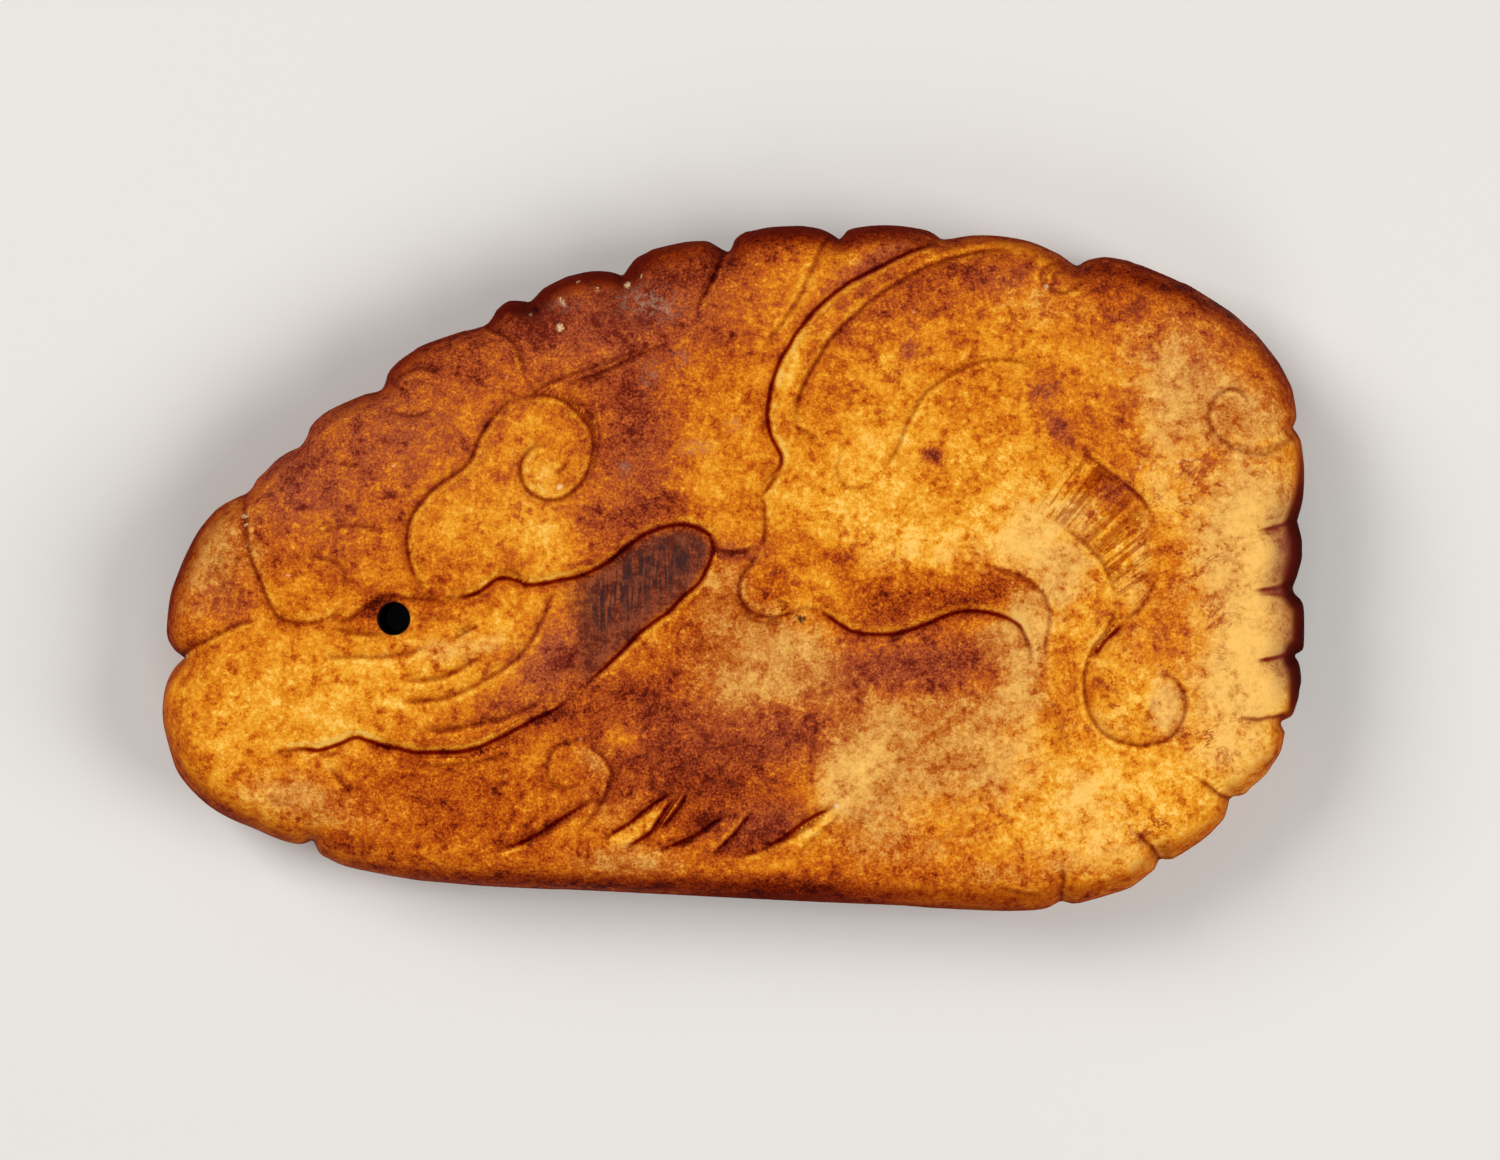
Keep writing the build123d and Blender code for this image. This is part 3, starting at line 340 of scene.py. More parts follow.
# The forms that the lines part from each other, polished to soft pillows, and the sunken grounds
# between them. A row has the rise in mm, less than 0 for a ground, how wide its edge is rounded,
# and the places that its edge runs through.
FORMS = [
    # raised: forehead, eye with its pupil, jaw, band and haunch
    (0.16, 2.2, [(-42.3, 10.5), (-41.8, 2), (-40.2, -4.5), (-38.6, -7.5), (-35, -7.4), (-33.6, -4.4),
        (-30, -3.6), (-28.6, 2), (-28, 7), (-25.6, 11.6), (-23, 15), (-24.5, 21), (-30, 25), (-34, 23.5),
        (-38, 17.8)]),
    (0.26, 1.6, [(-26.3, -3.9), (-28.1, 1.5), (-27.8, 7.3), (-25.4, 12), (-22.8, 15.6), (-21.3, 20.3),
        (-18.7, 24.6), (-15.4, 24.7), (-13, 22), (-12.2, 17), (-13.3, 11.9), (-12, 5), (-10.2, 1.7),
        (-13.4, -1.2), (-17.6, -2.3), (-20.4, -1.5), (-23.5, -4.2)]),
    (0.14, 0.7, [(-16.6, 11.3), (-17.7, 12.6), (-17.7, 15.4), (-16.6, 16.6), (-15.5, 15.8), (-15.1, 13.4)]),
    (0.18, 3, [(-48, -13.4), (-44, -9.4), (-40.5, -7.9), (-35, -9), (-30, -10.4), (-24, -9), (-17, -5),
        (-13.8, -8), (-14, -14), (-18, -21.8), (-22, -25.5), (-27, -26.3), (-33, -24.6), (-36, -26),
        (-35.5, -30), (-34, -35), (-37.5, -39.5), (-44, -36.5), (-49, -28), (-50, -20)]),
    (0.14, 1, [(17.5, 46.8), (11.1, 42), (6.7, 36.4), (4.1, 29.8), (3.1, 22), (4.2, 16), (2.5, 11), (4, 13),
        (5.2, 19.6), (5.9, 25.2), (7.4, 30), (10.6, 36.4), (16.2, 42.8), (21, 45.4), (25, 45.4), (27, 46.6),
        (23, 48.3)]),
    (0.3, 4, [(15.4, 21.4), (17.3, 25.8), (20.5, 29), (24, 29.7), (27.5, 27), (29.2, 21), (28.4, 15.4),
        (26.4, 9), (22, 4), (16, 5), (13.5, 12)]),
    # raised: leg, shin, paw and four curls
    (0.16, 3, [(2.5, 10.4), (2.8, 6), (1.9, 1.4), (0.7, -2.6), (1.2, -5.6), (3.5, -7), (6, -5.6),
        (9.6, -8.4), (13, -9.4), (18, -7), (21, -6.2), (24.6, -8), (25.9, -13), (27.2, -9), (26.6, -3.2),
        (22, 0.3), (16, 5), (10, 11), (6, 18)]),
    (0.22, 1.6, [(22.2, 1.2), (25.8, 6.8), (28.8, 5.4), (31.4, 1.6), (32.6, -3), (32, -9.4), (30.6, -13.6),
        (30.6, -20), (28.5, -26), (27.4, -20), (27.2, -12), (27.3, -6.4), (25.8, -2.2)]),
    (0.22, 1.8, [(32.6, -9.6), (31, -12.6), (30.4, -17), (31.4, -22.6), (34, -25.3), (37, -25), (39, -21.6),
        (38.8, -17.4), (37, -15.4), (38.6, -12), (36.4, -7.4)]),
    (0.16, 0.8, [(29.6, 43.2), (28.4, 43.8), (27.2, 43), (26.9, 41.4), (27.7, 40.1), (29, 40),
        (29.9, 41.2)]),
    (0.1, 0.9, [(9.6, 15.8), (9.4, 13.4), (10.2, 12.1), (11.6, 12.3), (12.3, 14), (11.4, 16)]),
    (0.1, 0.9, [(48, 19), (45.6, 17.6), (43.4, 18.8), (42.1, 21), (42.2, 23.6), (43.4, 24.8), (44.4, 23),
        (46, 24), (47.6, 21.6)]),
    (0.14, 0.9, [(-13.2, -30.4), (-13.9, -31.2), (-15, -31), (-15.6, -29), (-15.2, -26.6), (-13.8, -25.9),
        (-12.6, -27)]),
    # sunken: nose, tongue, tuft and belly
    (-0.22, 1.4, [(-42.5, 10.4), (-42, 2), (-40.5, -4), (-38.9, -7.4), (-42.6, -8.3), (-46.4, -11.2),
        (-51.5, -16), (-54, -5), (-51, 6), (-46.5, 12.5)]),
    (-0.34, 1, [(-13.4, -1.5), (-10, 1.6), (-7.5, 4.5), (-4.6, 5.8), (-2.3, 4.8), (-2, 1.6), (-3.7, -3.4),
        (-7, -7.9), (-10.2, -12.7), (-13.6, -17.7), (-14.6, -14), (-13.4, -8), (-14.4, -4)]),
    (-0.3, 1.1, [(25.9, 7.9), (27.2, 11.4), (28.5, 14.8), (30.3, 15.9), (32.6, 13.3), (34.9, 10.3), (36, 6),
        (36.5, 1.2), (35.9, -3.2), (33.8, -6.8), (33.1, -3), (31.8, 1.2), (29.3, 5.2)]),
    (-0.34, 1.8, [(-0.9, 2.2), (0.1, -1.6), (0.2, -5.4), (2.7, -7.6), (5.6, -6.4), (8.4, -7.9), (11.2, -10),
        (14.4, -10), (17.7, -8), (20.8, -6.8), (23.8, -7.9), (25.2, -11), (26.3, -16), (28.3, -20),
        (29.2, -26), (28.2, -34), (25, -40), (20.5, -43.8), (15, -44.6), (3, -43.2), (-10, -42),
        (-22, -41.2), (-29.5, -39.4), (-33, -36), (-33.4, -30.6), (-31.2, -26.6), (-25, -27.2),
        (-19.5, -24.6), (-14, -19.2), (-9.8, -13.4), (-6.5, -8.4), (-3.3, -3.8), (-1.6, 0.4)]),
    # sunken: round the hole, the mouth, and between feather strokes
    (-0.34, 1.3, [(-28.6, -5.4), (-29.6, -3.6), (-31, -3.8), (-32.2, -5.6), (-32, -8), (-30.6, -9.4),
        (-28.8, -9)]),
    (-0.3, 0.8, [(-34.8, -8.3), (-33.4, -6.4), (-31.4, -4.6), (-29, -4.1), (-26.4, -4.6), (-24.4, -5.4),
        (-25.6, -7), (-27.4, -9.4), (-29.6, -10.4), (-32.2, -9.8)]),
    (-0.26, 0.8, [(-4.5, -32.9), (-1.2, -35.6), (-3.6, -38.2), (-6.6, -40.2), (-6, -36.6)]),
    (-0.34, 0.8, [(1.8, -35.2), (4.4, -35), (7.2, -35.6), (4.2, -39), (-0.8, -41.8), (0.5, -38.2)]),
]


# The share of a form's rounded edge that lies outside its outline. A cut ends in a point, which
# is CUT_END mm and END_STRETCH slow banks long, but at most END_SHARE of the cut.
EDGE_START = 0.15
CUT_END, END_STRETCH, END_SHARE = 0.4, 2.2, 0.25
END_FULLNESS, BANK_HOLLOW = 0.6, 1.7

# Ink, dirt with painted shade, lies along the middle of a cut. Its soft stain, partly painted
# shade, covers a share of the slow bank and a width of the steep one.
INK_WIDTH, INK_FADE = 0.30, 0.45
STAIN_SHARE, STAIN_WIDTH = 0.8, 0.25
LEAST_REACH = 0.8
NO_LINE = 2.0  # stands for any larger distance from a line
LINE_STEP, FORM_STEP = 0.3, 0.4


def beside(line, x, y, reach):
    """Where places lie beside a line, for those within reach of its box.

    For each place it takes the nearest point of any piece of the line, and gives the distance,
    positive on the left, and the length of line passed and still to come.
    """
    low, high = line.min(0) - reach, line.max(0) + reach
    close = np.flatnonzero((x > low[0]) & (x < high[0]) & (y > low[1]) & (y < high[1]))
    leg = np.diff(line, axis=0)
    size = np.hypot(leg[:, 0], leg[:, 1])
    away = np.stack([x[close], y[close]], 1)[:, None] - line[:-1]
    part = np.clip((away * leg).sum(2) / size ** 2, 0, 1)
    away -= part[..., None] * leg
    gap = np.hypot(away[..., 0], away[..., 1])
    best = gap.argmin(1)
    pick = np.arange(len(close)), best
    side = np.sign(leg[best, 0] * away[pick][:, 1] - leg[best, 1] * away[pick][:, 0])
    passed = np.r_[0, size.cumsum()][best] + part[pick] * size[best]
    return close, gap[pick] * side, passed, size.sum() - passed


def depth_in(outline, x, y, reach):
    """How deep places lie in a closed outline, less than 0 outside, for those within reach of its box.

    A place is inside if a ray from it to the right crosses the outline an odd number of times.
    """
    ring = thread(outline + outline[:1], FORM_STEP)
    close, gap, _, _ = beside(ring, x, y, reach)
    (ax, ay), (bx, by) = ring[:-1].T, ring[1:].T
    height = y[close][:, None]
    straddles = (ay > height) != (by > height)
    rise = np.where(by == ay, 1, by - ay)
    crossing = ax + (height - ay) / rise * (bx - ax)
    inside = (straddles & (x[close][:, None] < crossing)).sum(1) % 2 == 1
    return close, np.where(inside, np.abs(gap), -np.abs(gap))


def smooth(t):
    """0 below 0, 1 above 1, and a soft S between: 3 t squared less 2 t cubed."""
    t = np.clip(t, 0, 1)
    return t * t * (3 - 2 * t)


def relief(x, y):
    """The height that carving adds or takes at each place, and three measures for the colour.

    Each form rises by its height times a soft S of the distance inside its edge. Each line cuts
    its depth times a falling bank on both sides, and of all the cuts at one place the deepest
    counts. The measures are the distance from the nearest line, positive on its slow bank, the
    strength of that line's ink, dirt with painted shade, which ends a little way off, and the soft
    stain on its slow bank, partly painted shade.
    """
    rise = np.zeros(len(x))
    for height, edge, outline in FORMS:
        close, depth = depth_in(outline, x, y, edge)
        rise[close] += height * smooth(depth / edge + EDGE_START)
    cut, ink_and_shade, halo = np.zeros((3, len(x)))
    near = np.full(len(x), NO_LINE)
    for kind, bank, points in HEAD_LINES + BODY_LINES + MANE_LINES:
        depth, steep, slow, dirt_and_shade = KINDS[kind]
        close, gap, passed, ahead = beside(thread(points, LINE_STEP), x, y, max(slow, LEAST_REACH))
        gap = gap * bank
        tip = np.minimum(CUT_END + END_STRETCH * slow, END_SHARE * (passed + ahead))
        point = smooth(np.minimum(passed, ahead) / tip) ** END_FULLNESS
        slow_bank = (1 - np.clip(gap / slow, 0, 1)) ** BANK_HOLLOW
        fall = np.where(gap > 0, slow_bank, 1 - smooth(-gap / steep))
        cut[close] = np.maximum(cut[close], depth * point * fall)
        stain_and_shade = 1 - smooth(np.where(gap > 0, gap / slow / STAIN_SHARE, -gap / STAIN_WIDTH))
        halo[close] = np.maximum(halo[close], dirt_and_shade * point * stain_and_shade)
        nearer = np.abs(gap) < np.abs(near[close])
        pick = close[nearer]
        near[pick] = gap[nearer]
        ink_and_shade[pick] = (dirt_and_shade * point * (1 - smooth((np.abs(gap) - INK_WIDTH) / INK_FADE)))[nearer]
    return rise - cut, near, ink_and_shade, halo


# The stone itself. One grid of squares covers the face: its outer edge follows the rim, and its
# rings shrink towards the middle, closer together where the rim rounds over. More rings go down
# round the rim to the flat back, and a tube lines the hole that is drilled through for a cord.

ACROSS, UPWARD = 376, 226
SIDE_RINGS = 8
RIM_ZONE = 0.1  # share of the grid's rings that is drawn together near the rim
RIM_CROWDING = 1.5
NICK_FADE = 0.045  # share of the way in over which the rim's nicks even out
CALM_REACH = 15  # places of the rim on each side that the even line is the mean of
OUTER_SHARE = 0.7  # the grid's rings from here outwards are measured from the rim
FAR = 9.0  # stands for any larger distance from the rim
HOLE_CENTRE = np.array([-29.4, -7.3]) * (LENGTH / 100, HEIGHT / 100)
HOLE_RADIUS = 1.0
HOLE_FLARE = 1.08
HOLE_BEVEL = 0.12
HOLE_CELLS = 6  # rings of squares that the hole takes out of the grid
HOLE_PULL = 4  # times as many are drawn towards circles round it


def rim_at(ring, share):
    """The place on a closed line that goes with this share of the rim's length, anticlockwise."""
    run = np.r_[0, np.hypot(*np.diff(np.vstack([rim, rim[:1]]), axis=0).T).cumsum()]
    shut = np.vstack([ring, ring[:1]])
    at = (share % 1) * run[-1]
    return np.stack([np.interp(at, run, shut[:, 0]), np.interp(at, run, shut[:, 1])], -1)


def face_grid():
    """Places of the face's grid, (UPWARD + 1, ACROSS + 1, 2).

    A square from -1 to 1 is mapped by rings: the larger of the two sizes is the ring, and the
    place along the ring's edge gives the share of the rim. The ring's size shrinks the rim's
    place, with the outermost rings drawn together, and evens out the nicks further in.
    """
    u, v = np.meshgrid(np.linspace(-1, 1, ACROSS + 1), np.linspace(-1, 1, UPWARD + 1))
    ring = np.maximum(np.abs(u), np.abs(v))
    safe = np.where(ring == 0, 1, ring)
    p, q = u / safe, v / safe
    side = UPWARD / (ACROSS + UPWARD) / 4
    top = ACROSS / (ACROSS + UPWARD) / 4
    share = np.select(
        [p >= 1, q >= 1, p <= -1],
        [q * side, side + top - p * top, 2 * (side + top) - q * side],
        3 * (side + top) + p * top,
    )
    inward = np.clip((1 - ring) / RIM_ZONE, 0, 1)
    size = np.where(ring > 1 - RIM_ZONE, 1 - RIM_ZONE * inward ** RIM_CROWDING, ring)
    wrapped = np.vstack([rim[-CALM_REACH:], rim, rim[:CALM_REACH]])
    total = np.vstack([[0, 0], wrapped.cumsum(0)])
    count = 2 * CALM_REACH + 1
    calm = (total[count:] - total[:-count]) / count
    exact = np.exp((size - 1) / NICK_FADE)[..., None]
    nicked, even = rim_at(rim, share), rim_at(calm, share)
    return (even + (nicked - even) * exact) * size[..., None]


def holed_grid():
    """The face's grid with its squares drawn to circles round the hole, and each corner's ring.

    The grid's corner nearest the hole is ring 0. A ring's circle has the flared radius times
    its number over HOLE_CELLS, and further out the pull towards it fades by a soft S.
    """
    place = face_grid()
    away = place - HOLE_CENTRE
    row, column = np.unravel_index((away ** 2).sum(-1).argmin(), place.shape[:2])
    rows, columns = np.mgrid[:UPWARD + 1, :ACROSS + 1]
    ring = np.maximum(np.abs(rows - row), np.abs(columns - column))
    turn = np.arctan2(away[..., 1], away[..., 0])
    spokes = np.stack([np.cos(turn), np.sin(turn)], -1)
    circle = HOLE_CENTRE + HOLE_RADIUS * HOLE_FLARE * (ring / HOLE_CELLS)[..., None] * spokes
    pull = smooth((HOLE_PULL * HOLE_CELLS - ring) / ((HOLE_PULL - 1) * HOLE_CELLS))[..., None]
    return place + (circle - place) * pull, ring


def rim_distance(x, y):
    """The distance of the grid's corners from the rim, and FAR for the inner ones.

    Every second place of the rim is enough. Thirty batches of corners spare memory.
    """
    rows, columns = np.mgrid[:UPWARD + 1, :ACROSS + 1]
    square = np.maximum(np.abs(rows / UPWARD * 2 - 1), np.abs(columns / ACROSS * 2 - 1))
    closed = np.vstack([rim[::2], rim[:1]])
    gap = np.full(len(x), FAR)
    for part in np.array_split(np.flatnonzero(square.ravel() > OUTER_SHARE), 30):
        close, off, _, _ = beside(closed, x[part], y[part], FAR)
        gap[part[close]] = np.abs(off)
    return gap


def around(index, low, right, high, left):
    """The corners round a block of the grid, anticlockwise."""
    return np.r_[
        index[low, left:right], index[low:high, right],
        index[high, right:left:-1], index[high:low:-1, left],
    ]


def belt(first, second):
    """The squares between two rings of as many corners."""
    return np.column_stack([first, np.roll(first, -1), np.roll(second, -1), second])


def back_halves(points, outer, inner):
    """The flat back as two faces, parted from the left end through the hole to the right end."""
    left, right = points[outer, 0].argmin(), points[outer, 0].argmax()
    west, east = points[inner, 0].argmin(), points[inner, 0].argmax()
    outside, half = np.roll(outer, -right), (left - right) % len(outer)
    inside, turn = np.roll(inner, -east), (west - east) % len(inner)
    return [
        np.r_[outside[:half + 1], inside[turn::-1]][::-1],
        np.r_[outside[half:], outside[:1], inside[:1], inside[:turn - 1:-1]][::-1],
    ]


def stone():
    """Vertices, faces and colour measures of the whole stone, and which vertices are the back's.

    The face's height is the waist's, plus what the arch and the carving have above it times a
    round-over: the root of 1 less the power ROUNDNESS of the share of ROUND_OVER still to go
    inwards. The side is a quarter of an ellipse from the waist in to the back.
    """
    place, ring = holed_grid()
    x, y = place.reshape(-1, 2).T
    gap = rim_distance(x, y)
    carved, near, ink_and_shade, halo = relief(x, y)
    inset = np.clip(gap / ROUND_OVER, 0, 1)
    swell = (1 - (1 - inset) ** ROUNDNESS) ** 0.5
    z = WAIST + (CROWN - y ** 2 / (2 * ARCH) + carved - WAIST) * swell
    index = np.arange(len(x)).reshape(UPWARD + 1, ACROSS + 1)
    corner = index[:-1, :-1], index[:-1, 1:], index[1:, 1:], index[1:, :-1]
    solid = np.max([ring.ravel()[c] for c in corner], axis=0) > HOLE_CELLS
    quads = [np.stack([c[solid] for c in corner], 1)]
    shape = [np.column_stack([x, y, z])]
    count = len(x)

    edge = above = around(index, 0, ACROSS, UPWARD, 0)
    for tilt in np.linspace(0, math.pi / 2, SIDE_RINGS + 1)[1:]:
        inset = DRAW_IN * (1 - math.cos(tilt))
        flat = np.column_stack([x[edge], y[edge]]) * (1 - 2 * inset / LENGTH, 1 - 2 * inset / HEIGHT)
        shape.append(np.column_stack([flat, np.full(len(edge), WAIST * (1 - math.sin(tilt)))]))
        below = np.arange(count, count + len(edge))
        quads.append(belt(below, above))
        count += len(edge)
        above = below

    row, column = np.unravel_index(ring.argmin(), ring.shape)
    mouth = upper = around(
        index, row - HOLE_CELLS, column + HOLE_CELLS, row + HOLE_CELLS, column - HOLE_CELLS)
    spoke = np.column_stack([x[mouth], y[mouth]]) - HOLE_CENTRE
    spoke /= np.hypot(*spoke.T)[:, None]
    levels = z[mouth] - HOLE_BEVEL, z[mouth] * 0.5, z[mouth] * 0 + HOLE_BEVEL, z[mouth] * 0
    for flare, level in zip((1.0, 1.0, 1.0, HOLE_FLARE), levels):
        shape.append(np.column_stack([HOLE_CENTRE + spoke * HOLE_RADIUS * flare, level]))
        lower = np.arange(count, count + len(mouth))
        quads.append(belt(upper, lower))
        count += len(mouth)
        upper = lower

    points = np.vstack(shape)
    extra = np.zeros(count - len(x))
    bore, back = np.zeros((2, count))
    bore[-len(levels) * len(mouth):-len(mouth)] = 1
    back[above], back[upper] = 1, 1
    measures = {
        "line_gap": np.r_[near, extra + NO_LINE],
        "line_ink_and_shade": np.r_[ink_and_shade, extra],
        "line_halo": np.r_[halo, extra],
        "rim_gap": np.r_[gap, extra],
        "bore": bore,
    }
    return points, np.vstack(quads), back_halves(points, above, upper), measures, back


# The colour of the stone. Long wear and heating have turned the skin of the jade from gold to
# russet, in clouds, grains and veins, and left pale fields where the skin is thin. The carved
# lines hold a dark red-brown, dirt with painted shade. The rim is painted with shade and a dark
# red glow, and a few ovals below are painted shade or painted highlight.

# Where the skin has each look. A row is a soft oval: its place and its two half sizes, all in
# percent, its turn in degrees, and how strong it is.
RUSSET = [
    (-37, 14, 5, 7, 50, 0.62), (-31, 20, 9, 9, 35, 0.5), (-25, 30, 6, 5, 20, 0.75),
    (-40, 5, 3, 8, -15, 0.4), (-15, 35, 6, 7, 35, 1), (-7, 38, 7, 6, 15, 0.95), (-4, 43, 5, 4, 0, 0.8),
    (-19, 38, 3, 3, 0, 0.9), (-8, 18, 3.4, 12, 0, 0.85), (-10.5, 25, 4, 4, 0, 0.55), (-6, 8, 4, 3, 0, 0.7),
    (-10, 3, 3, 4, 20, 0.4), (-19, -22, 6, 3, 20, 0.45), (-21, 2, 5, 3, 0, 0.4),
    (-18, -41, 6, 2.4, 0, 0.55), (-4, -12, 3, 3, 0, 0.45), (-11, 16, 2, 4, 0, 0.3),
    (-15, -14, 3, 8, -30, 0.62), (-25, -34, 9, 5, 0, 0.66), (-15, -34, 6, 5, 0, 0.2),
    (-1, 31, 3, 6, -10, 0.35), (-29.5, 8.5, 3, 3.5, 0, 0.35), (-11.5, 2.5, 3, 4, 0, 0.45),
    (-11, 9, 3, 3, 0, 0.3), (1, -41, 4, 2.2, 0, 0.5), (0.5, -8, 3, 5, 0, 0.5), (33.5, 37.5, 5, 5, 0, 0.6),
    (43, 23, 3, 4, 0, 0.25), (-6, -19, 4.5, 5, 20, 0.8), (-5, -29, 5, 7, 0, 0.9),
    # The rows at (3, -37.4), (-3.6, -36.6) and (-2, -37.5) are painted shade in the sunken pockets between
    # the feather strokes.
    (1.6, -27, 4.4, 7, -24, 0.85), (3, -37.4, 4, 1.5, 50, 1.3), (-3.6, -36.6, 2.4, 1.3, 40, 0.7),
    (-10, -29, 2, 4, 0, 0.45), (34.4, 8.5, 1.4, 4.5, 25, 0.6), (-2, -37.5, 3, 2.5, 30, 0.8),
    (15, -14.5, 8, 4.5, 8, 0.9), (21, -13, 4, 4, -10, 0.25), (7, -22, 4, 3, 40, 0.5),
    (13, -5, 3.6, 4, 0, 0.75), (19, -4.5, 5, 2.5, 10, 0.95), (9, 1.5, 3, 2.4, 0, 0.75),
    (23.5, -2.5, 2.5, 2, 0, 0.7), (3.5, -2, 2, 3, 0, 0.45), (-0.5, 2.5, 3, 1.5, 0, 0.6),
    (10.5, 34, 3, 4, 40, 0.3), (14, 39, 5, 3, 30, 0.6), (21, 42, 5, 3, -5, 0.6), (8, 25, 2, 6, -15, 0.4),
    (33, 10.5, 2, 3, -30, 0.6), (29, 14.5, 1.2, 2, 30, 0.25), (17.3, 16.2, 0.8, 1.3, 20, 2.2),
    (26.8, 25.4, 1.2, 1.6, 0, 0.9), (28, 20.3, 0.8, 2.6, 20, 0.8), (15.2, 31.4, 0.5, 2.2, -10, 0.8),
    (20.6, 12.5, 1.2, 1, 0, 0.6), (-15.5, -9, 2.4, 5, -20, 0.45), (-12, -22.5, 3.6, 6, 0, 0.65),
    (5.8, 27, 0.7, 6, -12, 0.7), (6, 48, 6, 2.2, 0, 0.85), (14, 48.5, 4, 1.5, 0, 0.9),
    (33, 43, 5, 2, -15, 0.7), (41, 39, 7, 2.2, -48, 0.8), (47.5, 29, 2, 6, 15, 0.6),
    (-8, -46.3, 16, 1.8, -2, 0.62), (4, -46.3, 7, 2.4, -2, 1), (-20, -45, 14, 1.8, -5, 0.62),
    (13, -47.5, 6, 1.5, -3, 0.3), (20, -45, 8, 2.4, -3, 0.35), (-44, -5, 2.4, 3.5, 0, 0.45),
    (-49.2, -6, 1.5, 7, 0, 0.45), (-45.5, -35, 6, 1.6, -48, 0.5), (14, 44.5, 5, 1.6, 40, 0.5),
    (37.5, -4.5, 2.2, 4, 0, 0.3), (31, -18.5, 2.6, 3, 20, 0.35), (37, -26.5, 2.4, 3, 0, 0.3),
    (-22.5, -19, 3, 2.4, 0, 0.25), (-29, -27, 4, 2.6, 10, 0.28), (-34.5, -40, 4, 2, -25, 0.4),
    (-3, -40, 5, 1.6, 0, 0.3), (2, -33, 3, 2.4, 30, 0.3), (15, -39.5, 5, 2.6, 10, 0.3),
    (-47, -12, 2.4, 3, 0, 0.25), (1, 45, 4, 3, 0, 0.4), (1, 12.5, 2.4, 6, 0, 0.28), (31, 18, 3, 3, 0, 0.25),
    # The rows at (-30.6, -5.6) and (-12, -11) are painted shade: by the sunken mouth of the hole and along
    # the sunken tongue's lower edge.
    (-30.6, -5.6, 1.6, 2.6, -20, 1.5), (-12, -11, 1.2, 6, -50, 0.7), (28.5, 24, 1.8, 6, 15, 0.2),
]
GOLD = [
    (-37, -18, 10, 8, 5, 0.82), (-27, -13, 8, 5, 10, 0.6), (-26, -19, 6, 3, 0, 0.7),
    (-35, -26, 3.5, 3, 0, 1), (-20, -8, 6, 3, 20, 0.6), (-22, 5, 6, 9, 60, 0.75), (-17, 21, 3, 3, 0, 0.4),
    (-16.6, 14, 1.5, 2.4, 0, 0.9), (10, 11, 6, 7, 0, 1), (16, 4, 6, 5, 10, 0.9), (20, 18, 7, 9, 0, 0.75),
    (24, 9, 5, 5, 0, 0.8), (13, 21, 3, 4, 0, 0.7), (33, -33, 9, 7, 15, 1.5), (28, -38, 4, 5, 0, 0.7),
    (36, -43, 6, 4, 20, 0.8), (25.6, 4, 3.4, 4, 0, 1), (45, 4, 4, 14, 0, 1.1), (3, -12, 6, 6, 0, 0.55),
    (37, -19, 3, 5, 0, 0.8), (29.5, 8, 3, 3, 0, 0.5), (34.5, 0, 2, 5, 0, 0.5), (8, 8, 5, 5, 0, 0.3),
    (15, -38, 8, 5, 0, 0.3), (45, -16, 4, 8, 0, 0.9), (0, 18, 5, 10, -10, 0.5), (-1.5, 10, 4, 4, 0, 0.6),
    (12.8, 29.5, 3, 4, 0, 1), (32, 27, 4, 6, 0, 0.35), (6, 41, 3, 4, 30, 0.45),
    (-9.8, -24.3, 1.4, 2, 0, 1.9), (-12, -28, 1.2, 2.2, 30, 0.7), (-8.1, -37.2, 3.2, 0.9, 48, 1.1),
    (-1.8, -39.4, 3, 1, 43, 1.1), (7, -38, 4, 1, 53, 1.2), (30, -5, 4, 10, 0, 0.9), (37, 12, 3, 7, 0, 0.8),
    (32, -20, 4, 6, 0, 0.55), (38, 24, 3, 5, 0, 0.6), (6.4, 31, 2.2, 7, -8, 0.9), (13, -20, 3, 4, 0, 0.35),
    (25, -13, 3, 9, 0, 0.8), (13, 2, 4, 4, 0, 0.6), (20, 2, 4, 4, 0, 0.4), (46, -20, 3, 8, 0, 0.7),
    (-17, -33, 3, 3, 0, 0.5), (1, -19, 2.5, 3, 0, 0.45), (10, -29.5, 2.6, 5.5, -24, 0.9),
    (26, 38, 4, 4, 0, 0.6), (-9, -39, 5, 2.4, 10, 0.5), (5, -43, 5, 1.6, 10, 0.7),
    (33.5, -18, 2.2, 5, 10, 0.55), (-44, -22, 4, 9, 0, 0.6), (7, -2, 2.4, 4, 20, 0.6),
    (43, -29, 4, 5, 30, 1.1), (5, 24, 1.2, 9, -4, 0.6), (12, 38.5, 7, 0.9, 42, 0.5),
    (28, 31, 5, 6, 0, 0.45), (21, 34, 6, 3, 0, 0.3), (-12, 30, 3.4, 3, 0, 0.6), (-1, 37.5, 5, 4, 0, 0.5),
    (-17.5, 8, 2.4, 9, 10, 0.7), (25.2, 12, 3, 5, 0, 0.55), (37.5, 9, 3, 3.4, 0, 0.7),
    (43.5, -14, 3.4, 12, 0, 0.6), (43, -25, 3, 4, 20, 0.5), (7, -19, 3, 3, 0, 0.45),
    (24.5, -26, 4, 3.4, 0, 0.6), (38, -34, 5, 5, 0, 0.45), (31, -39, 4, 3, 0, 0.35),
    (19, -47, 4, 1.8, 0, 0.7), (-41, -33, 4, 4, 0, 0.4),
]
